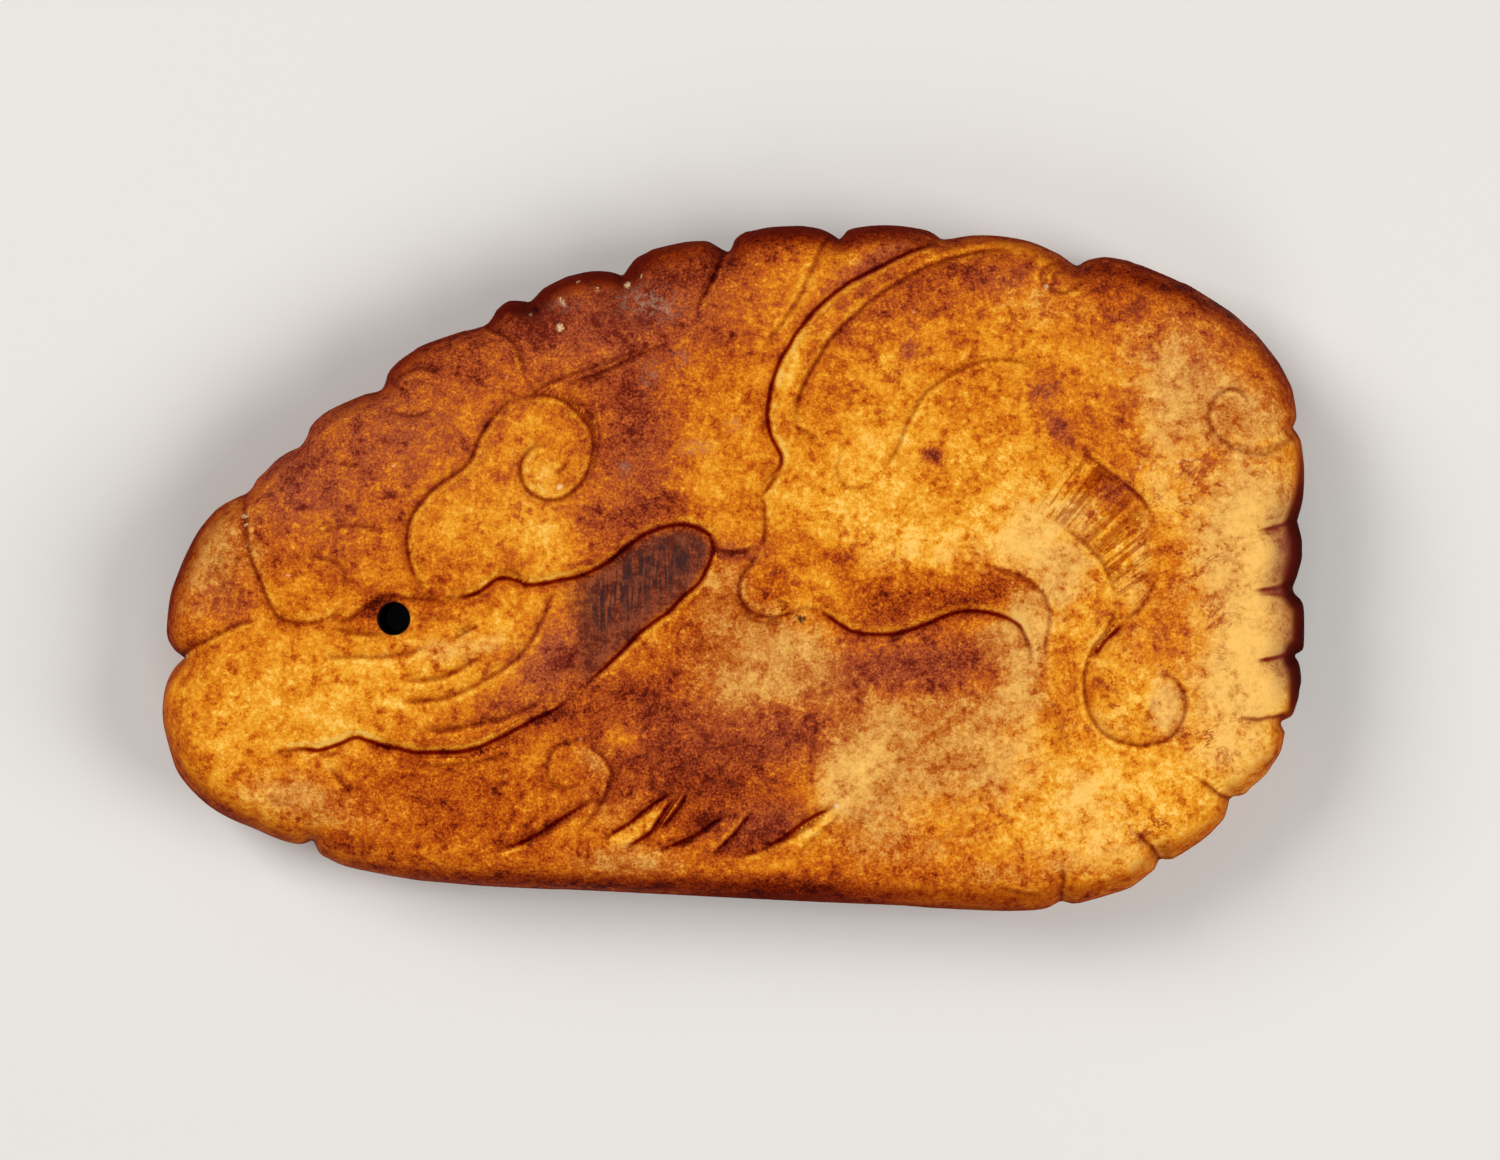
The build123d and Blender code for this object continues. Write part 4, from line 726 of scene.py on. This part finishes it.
PALE = [
    (-1, -3, 2.5, 5, -10, 0.55), (2, -12, 6, 6, -10, 1), (7, -16, 4, 4, 0, 0.85), (0, -20, 3, 4, 0, 0.6),
    (23, -11, 2.2, 2.6, 0, 1.1), (12, -27, 5, 6, 0, 0.85), (20, -27, 7, 8, 20, 0.75),
    (-24, -11.5, 6, 2.4, 12, 0.55), (-10, -36, 3, 5, 0, 0.3), (-12, -28, 1.2, 2.2, 30, 0.6),
    (11.5, -36, 3.2, 4, 20, 0.55), (14, -41, 7, 3, 10, 0.4), (23, -44.5, 4, 1.8, 0, 0.4),
    (-38, -33, 5, 3.6, -20, 0.7), (-32.5, -36.6, 3.4, 2.4, -25, 0.3), (-9, -42.5, 5, 2.2, 0, 0.75),
    (45, 9, 4, 7, 0, 1), (43.5, 0, 4, 7, 0, 0.9), (46, -9, 3, 7, 0, 0.85), (45, -17, 3.4, 6, 0, 0.75),
    (43, -27, 4, 4, 30, 0.6), (45, 22, 4, 5, 0, 0.7), (39, 27, 4, 6, 0, 0.6), (33, -10, 4, 10, 0, 0.25),
    (25, -14, 2.4, 8, 0, 0.75), (13, 2, 4, 4, 0, 0.25), (20, 1.5, 4, 3, 0, 0.35), (37.5, 11, 3, 6, 0, 0.45),
    (33, -23, 3, 3, 0, 0.2), (-12, 30, 4, 3, 0, 0.3), (13, -20, 3, 3.6, 0, 0.2), (26, 38, 4, 4, 0, 0.35),
    (26, 3.5, 3.4, 4, 20, 0.7), (29, -1, 2.2, 6, -15, 0.55), (37.4, -20, 1.4, 3.6, 0, 1),
    (-45.5, 2, 3.2, 9, -15, 0.85), (25.5, -8, 1, 4, 10, 0.5), (-35, -27, 3, 2.4, 0, 0.25),
    (31, -31, 3, 3, 0, 0.35), (29.5, 8.5, 2.4, 2.6, 0, 0.6), (34.6, -2.6, 1.8, 2.4, 0, 0.35),
    # The rows at (13, 45.4) and (18.6, 48.3) are a painted highlight on the slow bank outside the raised
    # band.
    (13, 45.4, 6, 1, 38, 0.6), (18.6, 48.3, 3, 0.8, 8, 0.5), (35.2, 3, 0.8, 3, 0, 0.5),
    (29, -42, 4, 3, 0, 0.45), (35, -41, 4, 4, 0, 0.35), (42, -16, 4, 10, 0, 0.45),
    (38, 31, 7, 8, -30, 0.28), (38, 20, 4, 5, 0, 0.4), (25, 10, 3, 5, 0, 0.35), (26, -4.5, 3, 4, 0, 0.35),
    (-41, 2, 3, 5, 0, 0.3), (-17, 12, 2, 7, 10, 0.3), (31, -36, 5, 4, 0, 0.35),
    (10.6, -29, 2.6, 5.5, -24, 0.6), (20.4, -19.5, 4, 2.6, 0, 0.4), (-11, -34, 3, 3, 0, 0.25),
]
PURPLE = [
    (-12, 35, 11, 8, 25, 1), (-29, 19, 10, 11, 35, 1.1), (-38, 10, 5, 9, 30, 1),
    # The row at (12, 44) gives the same bank a painted pinkish sheen.
    (12, 44, 6.5, 1.4, 48, 0.8), (-8, 16, 4.5, 12, 0, 0.8), (-5, -24, 8, 9, 0, 0.6),
    (8, 38, 16, 7, 0, 0.45), (-16, 6, 6, 7, 0, 0.6), (24, 41.5, 4, 2.5, -10, 0.7),
    (26.8, 25.4, 1.6, 2, 0, 1), (28, 20.3, 1.2, 3, 20, 1), (15.2, 31, 1, 3, -10, 1),
    (17.3, 16.2, 1, 1.6, 20, 0.8), (-15, -9, 3, 6, -20, 0.8), (15, -14, 9, 5, 5, 1),
    # The row at (3, -37) is painted shade in the sunken pocket between feather strokes.
    (3, -37, 5, 3, 25, 0.9), (-16.5, -15, 4, 8, -40, 0.9), (38, -12, 5, 6, 0, 0.5),
    (33, 10, 3, 4, -30, 0.6), (40, 16, 5, 3, 0, 0.6), (38, 30, 7, 9, -30, 0.8), (-44, -5, 3, 4, 0, 0.8),
    (5, -24, 6, 5, 40, 0.7), (0, 2.5, 3, 2, 0, 0.9),
]
VEINED = [
    (39, -8, 5, 6, 20, 1), (41, -24, 3, 4, 30, 1), (35, -12, 4, 4, 0, 0.9), (38, 14, 5, 5, 0, 0.9),
    (40, 4, 3, 6, 0, 0.9), (16, 31, 4, 6, 20, 0.7), (23, 39, 7, 5, 0, 0.7), (28, 24, 3, 6, 20, 0.9),
    (33, 38, 6, 4, 0, 0.8), (30, -20, 4, 6, 0, 0.9), (37, -37, 3, 3, 0, 0.9), (22, -36, 2, 3, 0, 0.7),
    (4, -1, 3, 4, 0, 0.9), (18, 16, 2, 2, 0, 1), (10, 2, 4, 4, 0, 0.8), (32, 3, 3, 7, 0, 0.7),
    (0.5, -25, 9, 9, 0, 0.5), (10, 27, 4, 8, 0, 0.5),
]
# Where the rim's painted dark red glow and painted haze are strong.
RIM_GLOW_ZONES = [
    (50, 2, 6, 12, 0, 1.15), (50, -15, 4, 7, 0, 1), (-12, 44, 9, 6, 28, 0.66), (-20, 38, 4, 4, 0, 0.3),
    (4, 50, 7, 4, 0, 0.58), (14, 50, 5, 4, 0, 0.33), (25, 48.5, 6, 3, 0, 0.2), (36, 44, 6, 5, -35, 0.26),
    (48, 28, 4, 8, 15, 0.18), (-30, 30, 7, 6, 45, 0.32), (-48, 2, 4, 12, 0, 0.42), (4, -49, 8, 4, -2, 0.42),
    (20, -50, 8, 3, 0, 0.2), (40, -40, 9, 5, 40, 0.1), (-48, -30, 5, 9, 0, 0.12),
]
# How wide the rim's band of painted shade is.
RIM_BAND = [
    (38, 42, 10, 7, -35, 1.6), (48, 28, 4, 8, 15, 0.7), (5, 50, 9, 5, 0, 1.5), (16, 50, 6, 5, 0, 0.8),
    (-10, 44, 9, 6, 28, 1.2), (-19, 38, 4, 4, 0, 0.6), (-30, 29, 8, 6, 45, 0.55),
    (-12, -48, 22, 6, -2, 1.15), (3, -49, 7, 5, -2, 0.6), (18, -50, 12, 5, 0, 1.5), (27, -49, 6, 4, 0, 0.8),
    (38, -43, 8, 6, 45, 1.1), (46, -30, 4, 7, 20, 0.9), (-46, -33, 8, 8, -45, 0.7), (50, 0, 4, 22, 0, 0.6),
    (-48, 0, 5, 12, -8, 0.9), (-45, 9, 4, 7, -35, 0.6),
]
FROST = [
    (-7.5, 38.4, 2.4, 2, -20, 1), (-5.9, 36.7, 1, 0.9, 0, 0.9), (0.2, 20.5, 0.8, 0.9, 0, 0.8),
    (-3.2, 17.3, 1.3, 0.8, 20, 0.9), (-9.4, 14.2, 0.7, 0.8, 0, 0.9), (-7.2, 27.8, 0.7, 1.8, -15, 0.7),
    (-4.6, 30, 0.6, 1.4, 0, 0.6), (-14.8, 38, 1.2, 1, 0, 0.7),
]

# Where the dark strokes of the tongue show.
STROKES = [(-7, -0.6, 3.2, 6, -35, 1.3), (-11, -6, 2, 4, 0, 0.8)]

# Small chips and grains in the skin, some of the bright ones painted glints: place, radius in mm,
# and 1 for a bright one, -1 for a dark one.
FLECKS = [
    (-15, 34.6, 0.3, 1), (-14.7, 38.1, 0.2, 1), (-15.1, 38.9, 0.18, 0.9), (-9.2, 40.9, 0.26, 1),
    (-8, 42.2, 0.17, 0.8), (-11.8, 40.2, 0.18, 0.9), (-13.5, 41.3, 0.18, 0.8), (-17.6, 36.6, 0.18, 0.7),
    (-15, 11.6, 0.24, 1), (-29.3, 14.7, 0.17, 0.9), (-38.4, 14.8, 0.17, 0.7), (-33, 14.1, 0.16, 0.6),
    (-19.6, 27.5, 0.17, 0.7), (-19.7, -30, 0.18, 0.7), (-28.9, -35.5, 0.16, 0.6), (-13.2, -24.6, 0.18, 0.8),
    (-38.5, -1.2, 0.24, 0.7), (-38.2, -2, 0.17, -0.8), (27.1, 40.4, 0.24, 0.8), (28.9, 7.5, 0.24, 0.6),
    (31.4, 8.1, 0.18, 0.8), (33.4, 8.9, 0.18, 0.6), (9, -34.4, 0.2, 1), (13.6, -40.2, 0.3, 0.5),
    (18.1, -20, 0.17, 0.9), (22.6, -19.9, 0.16, 0.7), (35.2, 14.3, 0.17, 0.8), (36.4, 14.4, 0.17, 0.8),
    (38.4, 15.3, 0.17, 0.9), (39.6, 15.6, 0.17, 0.9), (40.3, 15.2, 0.16, 0.8), (42.5, 2.2, 0.22, 0.5),
    (48.9, -2.9, 0.34, 0.8), (6, -7.5, 0.24, -1), (5.6, -6.9, 0.17, -0.8), (7.9, -17, 0.16, -0.6),
    (15.6, 36.9, 0.18, 0.7), (-30.3, -12.6, 0.17, 0.6), (-42.3, 7.4, 0.22, 1), (-42.2, 6.2, 0.18, 0.9),
    (-42.1, 3.2, 0.18, 0.7), (-47.6, -12.8, 0.2, 0.7),
]

# The outlines of the tongue, which is brown and banded, and of the leg's striped tuft. The tuft's
# hairs point away from one place and are parted along an arc round it, both given in mm.
TONGUE = [
    (-15.2, -2), (-13.2, -1.6), (-10, 1.4), (-7.5, 4.4), (-4.6, 5.7), (-2.4, 4.6), (-2.1, 1.4),
    (-3.8, -3.4), (-7.1, -7.9), (-10.3, -12.7), (-13.2, -17), (-13.6, -10), (-14.6, -6),
]
TUFT = [
    (26, 7.8), (27.3, 11.4), (28.6, 14.8), (30.3, 15.8), (32.5, 13.3), (34.8, 10.2), (35.9, 6),
    (36.4, 1.2), (35.8, -3.2), (33.4, -5.6), (32.9, -3), (31.6, 1.4), (29.2, 5),
]
HAIR_ROOT = (8.2, -11.7)
HAIR_RADIUS = 17.0
PATCH_REACH, PATCH_EDGE, PATCH_START = 1.0, 0.6, 0.3

# A tone of 0 is the palest gold and 1 the darkest russet: that of plain skin, what an oval of
# strength 1 adds to it, and the least one.
PLAIN_TONE = 0.42
RUSSET_TONE, GOLD_TONE = 0.34, -0.20
LEAST_TONE = 0.15
RIM_WIDTHS = 3.0  # stands for any larger number of band widths from the rim
FLECK_FLOOR = 5.4  # no flecks below this height


def clouds(rows, x, y):
    """The sum of soft ovals at each place.

    Each gives its strength times e to the power of minus the square of the distance from its
    middle, where half its size counts as 1.
    """
    total = np.zeros(len(x))
    for across, up, wide, high, turn, strength in rows:
        dx, dy = x * 100 / LENGTH - across, y * 100 / HEIGHT - up
        c, s = math.cos(math.radians(turn)), math.sin(math.radians(turn))
        total += strength * np.exp(-((dx * c + dy * s) / wide) ** 2 - ((dy * c - dx * s) / high) ** 2)
    return total


points, quads, caps, measures, back = stone()
x, y, z = points.T
faces = quads.tolist() + [cap.tolist() for cap in caps]
pendant_mesh = bpy.data.meshes.new("carved_stone")
pendant_mesh.from_pydata((points / 1000).tolist(), [], faces)
pendant_mesh.shade_smooth()

for name, outline in (("tongue", TONGUE), ("tuft", TUFT)):
    close, depth = depth_in(outline, x, y, PATCH_REACH)
    measures[name] = np.zeros(len(x))
    measures[name][close] = smooth(depth / PATCH_EDGE + PATCH_START)
tongue_brown = 0.35 + 0.65 * smooth((x + 10.4) / 2.4)
measures["tongue"] *= tongue_brown
measures["strokes"] = measures["tongue"] * np.minimum(clouds(STROKES, x, y), 1)
measures["hair_way"] = np.arctan2(y - HAIR_ROOT[1], x - HAIR_ROOT[0]) * HAIR_RADIUS

# The rim's bands of painted shade and painted dark red glow, as distances from the rim over the
# band's own width, and where the glow is strong.
rim_glow_strength = clouds(RIM_GLOW_ZONES, x, y)
rim_gap = measures.pop("rim_gap")
band_width = 0.55 + 0.75 * clouds(RIM_BAND, x, y)
red_width = 0.12 + 1.05 * np.minimum(rim_glow_strength, 1)
right_end = smooth((x - 20) / 5)
measures["rim_band"] = np.minimum(rim_gap / band_width, RIM_WIDTHS)
measures["rim_red"] = np.minimum(rim_gap / red_width, RIM_WIDTHS)
measures["rim_glow_haze"] = np.clip(rim_glow_strength * 1.6 - 0.6, 0, 1) * smooth((3.2 - rim_gap) / 1.6) * right_end
measures["rim_glow_share"] = np.minimum(0.30 + rim_glow_strength, 0.95)

for name, rows in (("pale", PALE), ("purple", PURPLE), ("veined", VEINED), ("frost", FROST)):
    measures[name] = clouds(rows, x, y)
skin_tone = PLAIN_TONE + RUSSET_TONE * clouds(RUSSET, x, y) + GOLD_TONE * clouds(GOLD, x, y)
measures["tone"] = np.maximum(skin_tone, LEAST_TONE)
measures["fleck"] = sum(
    light * np.exp(-((x - across * LENGTH / 100) ** 2 + (y - up * HEIGHT / 100) ** 2) / radius ** 2)
    for across, up, radius, light in FLECKS
) * smooth((z - FLECK_FLOOR) / 1.2)

# The back is plain, between gold and russet.
BACK_LOOK = {"tone": 0.50, "line_gap": NO_LINE, "rim_band": 0.8, "rim_red": RIM_WIDTHS}
for name, values in measures.items():
    values[back > 0] = BACK_LOOK.get(name, 0.0)
    layer = pendant_mesh.attributes.new(name, "FLOAT", "POINT")
    layer.data.foreach_set("value", values.astype(np.float32))

jade = bpy.data.materials.new("old_amber_jade")
jade.use_nodes = True
tree = jade.node_tree
tree.nodes.clear()


def node(kind, **settings):
    """A new node of the tree. Settings named after its own properties are set; i0, i1 ... are inputs."""
    made = tree.nodes.new("ShaderNode" + kind)
    for name, value in settings.items():
        if name[0] == "i" and name[1:].isdigit():
            connect(value, made.inputs[int(name[1:])])
        else:
            setattr(made, name, value)
    return made


def connect(value, socket):
    """Links another node's output to a socket, or sets the socket to a plain value."""
    if isinstance(value, bpy.types.NodeSocket):
        tree.links.new(value, socket)
    elif isinstance(value, bpy.types.Node):
        tree.links.new(value.outputs[0], socket)
    else:
        socket.default_value = value


def measure(name):
    """The value of one of the mesh's measures."""
    return node("Attribute", attribute_name=name).outputs["Fac"]


def arithmetic(operation, total, *values):
    """Arithmetic on several values, from left to right."""
    for value in values:
        total = node("Math", operation=operation, i0=total, i1=value).outputs[0]
    return total


def plus(*values):
    """The sum of several values."""
    return arithmetic("ADD", *values)


def minus(*values):
    """The first value less all the others."""
    return arithmetic("SUBTRACT", *values)


def times(*values):
    """The product of several values."""
    return arithmetic("MULTIPLY", *values)


def noise(scale, detail, roughness=0.6, distortion=0.0, offset=(0, 0, 0), turn=0.0,
          stretch=(1, 1, 1), at=None):
    """Cloudy noise, about 0.25 to 0.75, with so many features to the metre."""
    coords = at or node("TexCoord").outputs["Object"]
    placed = node("Mapping", i0=coords, i1=offset, i2=(0, 0, turn), i3=stretch)
    made = node("TexNoise", i0=placed)
    values = {"Scale": scale, "Detail": detail, "Roughness": roughness, "Distortion": distortion}
    for name, value in values.items():
        made.inputs[name].default_value = value
    return made.outputs[0]


def span(value, low, high, to_low=0.0, to_high=1.0):
    """Carries a value from one span to another with a soft S, and holds it at the ends."""
    return node("MapRange", interpolation_type="SMOOTHSTEP",
                i0=value, i1=low, i2=high, i3=to_low, i4=to_high).outputs[0]


def blend(share, first, second, how="MIX"):
    """Goes from the first colour to the second by the share."""
    made = node("Mix", data_type="RGBA", blend_type=how, i0=share)
    for value, socket in ((first, made.inputs[6]), (second, made.inputs[7])):
        connect((*value, 1.0) if isinstance(value, tuple) else value, socket)
    return made.outputs[2]


def shade(share, colour, factor):
    """Darkens a colour by multiplying it with a factor, as far as the share says."""
    return blend(share, colour, factor, how="MULTIPLY")


# From the thinnest skin to the thickest: share, and colour in linear light.
SKIN = [
    (0, (0.98, 0.6, 0.125)), (0.16, (0.88, 0.385, 0.026)), (0.36, (0.68, 0.195, 0.0085)),
    (0.54, (0.48, 0.088, 0.0055)), (0.72, (0.31, 0.04, 0.0045)), (0.88, (0.165, 0.0165, 0.0035)),
    (1, (0.07, 0.005, 0.0015)),
]
TAN_LIGHT = (0.95, 0.55, 0.140)
TAN_DARK = (0.48, 0.145, 0.018)
PLUM_LIGHT = (0.44, 0.110, 0.050)
PLUM_DARK = (0.170, 0.019, 0.009)
VEIN_RED = (0.33, 0.060, 0.020)
FROSTY = (0.48, 0.27, 0.175)
LINE_SHADE = (0.27, 0.035, 0.015)
RIM_PAINTED_SHADE = (0.46, 0.17, 0.05)
RIM_PAINTED_GLOW = (0.088, 0.0045, 0.0012)
RIM_PAINTED_HAZE = (0.21, 0.042, 0.034)
TONGUE_LIGHT = (0.30, 0.070, 0.026)
TONGUE_DARK = (0.12, 0.020, 0.011)
STRIPE_BLUE = (0.034, 0.017, 0.017)
HAIR_SHADE = (0.50, 0.22, 0.10)
EDGE_SHADE = (0.30, 0.3, 0.6)
CHIP_AND_GLINT_LIGHT = (0.92, 0.64, 0.34)
CHIP_DARK = (0.03, 0.022, 0.012)
BORE_PAINTED_SHADE = (0.02, 0.008, 0.004)

# The clouds, grains and veins of the skin.
broad = noise(230, 4, 0.6, 0.4)
cloudy = noise(720, 5, 0.62, offset=(3, 1, 2))
crumbs = noise(1500, 5, 0.72, offset=(1, 6, 3))
grain = noise(2600, 4, 0.75, offset=(7, 5, 1))
dust = noise(6500, 2, 0.7, offset=(2, 9, 4))
cream = noise(950, 4, 0.65, 0.6, offset=(4, 4, 8))
ripple = noise(430, 5, 0.64, 0.7, offset=(11, 2, 6), turn=-0.7, stretch=(0.85, 1.2, 1))
mottle = plus(
    span(cloudy, 0.30, 0.70, -0.10, 0.10),
    span(grain, 0.28, 0.72, -0.13, 0.13),
    times(minus(broad, 0.5), 0.55),
    times(minus(dust, 0.5), span(measure("tone"), 0.25, 0.75, 0.42, 1.15)),
    times(span(crumbs, 0.53, 0.60), span(cloudy, 0.42, 0.58), 0.22),
)
mottle = minus(mottle, times(span(crumbs, 0.47, 0.40), span(broad, 0.44, 0.56), 0.16))
mottle = times(mottle, span(measure("pale"), 0.15, 0.9, 1.0, 0.74))
crease = node("Math", operation="ABSOLUTE", i0=minus(ripple, 0.5))
blots = times(span(crease, 0.006, 0.026, 1.0, 0.0), span(cloudy, 0.46, 0.56), measure("veined"))

# Along the carved lines: ink at the bottom, dirt with painted shade, a stain and painted shade up
# the slow bank, and a painted highlight along the steep edge.
ink_and_shade, gap = measure("line_ink_and_shade"), measure("line_gap")
thin_line = times(span(gap, -0.15, -0.02), span(gap, 0.05, 0.25, 1.0, 0.0), ink_and_shade)
wide_line = times(span(gap, -0.22, 0.02), span(gap, 0.12, 0.60, 1.0, 0.0), ink_and_shade)
# A painted highlight along the steep edge of each line.
painted_edge_highlight = times(span(gap, -0.62, -0.30), span(gap, -0.26, -0.13, 1.0, 0.0), ink_and_shade)
halo = times(measure("line_halo"), plus(cloudy, 0.35))

# The skin: its tone, with pale cream, plum stains, red veins and frosty scratches over it.
tone = minus(plus(measure("tone"), mottle, times(blots, 0.22)), times(measure("tuft"), 0.10))
# Painted shade on the slow banks of the lines, and a painted highlight on their steep edges.
tone = minus(plus(tone, times(halo, 0.15)), times(painted_edge_highlight, 0.22))
skin = node("ValToRGB", i0=tone)
ramp = skin.color_ramp.elements
for index, (share, hue) in enumerate(SKIN):
    stop = ramp[index] if index < 2 else ramp.new(share)
    stop.position = share
    stop.color = (*hue, 1.0)
pale = plus(measure("pale"), times(mottle, -0.45), times(minus(cream, 0.5), 1.1))
pale = span(pale, 0.14, 0.86)
tan = blend(span(tone, 0.05, 0.62), TAN_LIGHT, TAN_DARK)
colour = blend(times(pale, span(tone, 0.34, 0.70, 0.9, 0.15)), skin, tan)
plum = blend(span(tone, 0.42, 0.98), PLUM_LIGHT, PLUM_DARK)
colour = blend(times(measure("purple"), span(tone, 0.30, 0.72, 0.1, 1.0), 0.62), colour, plum)
colour = blend(times(blots, 0.70), colour, VEIN_RED)
colour = blend(times(measure("frost"), span(grain, 0.46, 0.60), 0.62), colour, FROSTY)

# The banded tongue, the striped tuft, and the dirt and painted shade in the lines.
strokes = noise(1, 2, 0.6, 0.3, turn=0.14, stretch=(5200, 420, 300))
stripe = times(span(strokes, 0.43, 0.57), measure("strokes"), span(cloudy, 0.34, 0.52, 0.6, 1.0))
brown = blend(span(mottle, -0.20, 0.20), TONGUE_LIGHT, TONGUE_DARK)
colour = blend(measure("tongue"), colour, brown)
colour = blend(times(stripe, 0.85), colour, STRIPE_BLUE)
across_hair = node("CombineXYZ", i0=measure("hair_way"), i1=times(cloudy, 0.8))
hair_noise = noise(3.6, 2, 0.55, at=across_hair)
hair = times(span(hair_noise, 0.42, 0.62), measure("tuft"))
colour = shade(times(hair, 0.85), colour, HAIR_SHADE)
dirt_and_shade = plus(times(thin_line, plus(times(cloudy, 0.6), 0.65)), times(wide_line, 0.30))
colour = shade(dirt_and_shade, colour, LINE_SHADE)

# The rim: a painted haze and a painted dark red glow at the edge, strongest at the right end, a
# band of painted shade all round, and more painted shade at the very edge.
colour = blend(times(measure("rim_glow_haze"), span(mottle, -0.2, 0.2, 0.7, 0.95)), colour, RIM_PAINTED_HAZE)
rim_shade_share = span(plus(measure("rim_band"), times(mottle, 0.6)), 0.45, 1.40, 1.0, 0.0)
colour = shade(times(rim_shade_share, plus(times(measure("rim_glow_share"), 0.5), 0.55)), colour, RIM_PAINTED_SHADE)
red = measure("rim_red")
edge_red = span(plus(red, times(mottle, 0.5)), 0.70, 1.40, 1.0, 0.0)
colour = blend(times(edge_red, measure("rim_glow_share")), colour, RIM_PAINTED_GLOW)
colour = shade(times(measure("rim_glow_haze"), span(red, 0.2, 1.0, 0.85, 0.0)), colour, EDGE_SHADE)

# Chips and grains, with painted glints among the bright ones, and the drilled hole with painted
# shade on its walls.
fleck = times(measure("fleck"), plus(times(dust, 2.6), -0.3))
# Bright flecks: real chips and painted glints.
colour = blend(span(fleck, 0.35, 0.8, 0.0, 0.75), colour, CHIP_AND_GLINT_LIGHT)
colour = blend(span(fleck, -0.7, -0.3, 0.9, 0.0), colour, CHIP_DARK)
# The walls of the drilled hole are painted near black: painted shade.
colour = blend(measure("bore"), colour, BORE_PAINTED_SHADE)

# The finish: hand polished, with a fine tooth, and a little rougher at the rim.
heap = plus(times(grain, 0.5), times(dust, 0.2))
heap = minus(heap, thin_line, times(hair, 0.5), times(stripe, 0.4))
bump = node("Bump")
polish = node("BsdfPrincipled")
rough = plus(times(grain, 0.2), span(red, 0.0, 2.0, 0.60, 0.30))
for made, settings in (
    (bump, {"Strength": 0.5, "Distance": 0.00006, "Height": heap}),
    (polish, {"Base Color": colour, "Roughness": rough, "Normal": bump}),
    (polish, {"IOR": 1.6, "Specular IOR Level": 0.004}),
):
    for name, value in settings.items():
        connect(value, made.inputs[name])
node("OutputMaterial", i0=polish)

pendant_mesh.materials.append(jade)
pendant = bpy.data.objects.new("carved_pendant", pendant_mesh)
bpy.context.scene.collection.objects.link(pendant)
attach(pendant, "root")
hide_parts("pendant")


# The table under the stone: a pale, plain, matt sheet, with nothing else on it.

SHEET_HALF = 3.0  # metres
floor_mesh = bpy.data.meshes.new("table_sheet")
corners = [(-1, -1, 0), (1, -1, 0), (1, 1, 0), (-1, 1, 0)]
floor_mesh.from_pydata((np.array(corners) * SHEET_HALF).tolist(), [], [(0, 1, 2, 3)])
sheet_finish = bpy.data.materials.new("matt_sheet")
sheet_finish.use_nodes = True
matt = sheet_finish.node_tree.nodes["Principled BSDF"].inputs
matt["Base Color"].default_value = (0.78, 0.77, 0.75, 1)
matt["Roughness"].default_value = 0.9
floor_mesh.materials.append(sheet_finish)
floor = bpy.data.objects.new("table_sheet", floor_mesh)
bpy.context.scene.collection.objects.link(floor)


# The light: two wide soft panels at the left and the right, a weaker one at the near side, and a
# little light from all round.

def panel(name, place, wide, power, tint):
    """A square soft light at a place, in metres, that faces the stone."""
    light = bpy.data.lights.new(name, "AREA")
    light.size = wide
    light.energy = power
    light.color = tint
    lamp = bpy.data.objects.new(name, light)
    lamp.location = place
    aim = -np.array(place) / np.linalg.norm(place)
    lamp.rotation_euler = (math.acos(-aim[2]), 0, math.atan2(aim[1], aim[0]) - math.pi / 2)
    bpy.context.scene.collection.objects.link(lamp)


panel("left_panel", (-0.42, 0.26, 0.44), 0.36, 3.0, (1.0, 0.97, 0.93))
panel("right_panel", (0.46, -0.10, 0.42), 0.36, 2.45, (1.0, 0.97, 0.93))
panel("near_panel", (0.02, -0.50, 0.42), 0.30, 0.8, (1.0, 0.98, 0.95))
surround = bpy.data.worlds.new("surround")
surround.use_nodes = True
glow = surround.node_tree.nodes["Background"].inputs
glow["Color"].default_value = (0.9, 0.93, 1.0, 1)
glow["Strength"].default_value = 0.15
bpy.context.scene.world = surround


# The camera: straight above, far enough off for a flat picture. The stone is as wide in it as in
# the photograph, and the middle of the frame lies a little to the right of the stone's and below.

PHOTO_PIXELS, STONE_PIXELS = 1500, 1140
FRAME_WIDTH = PHOTO_PIXELS / STONE_PIXELS * LENGTH / 1000
FRAME_MIDDLE = (0.00103, -0.00075)
lens = bpy.data.cameras.new("camera")
lens.lens = 120
lens.sensor_width = 36
camera = bpy.data.objects.new("camera", lens)
camera.location = (*FRAME_MIDDLE, WAIST / 1000 + FRAME_WIDTH * lens.lens / lens.sensor_width)
bpy.context.scene.collection.objects.link(camera)
bpy.context.scene.camera = camera
bpy.context.scene.view_settings.view_transform = "Standard"
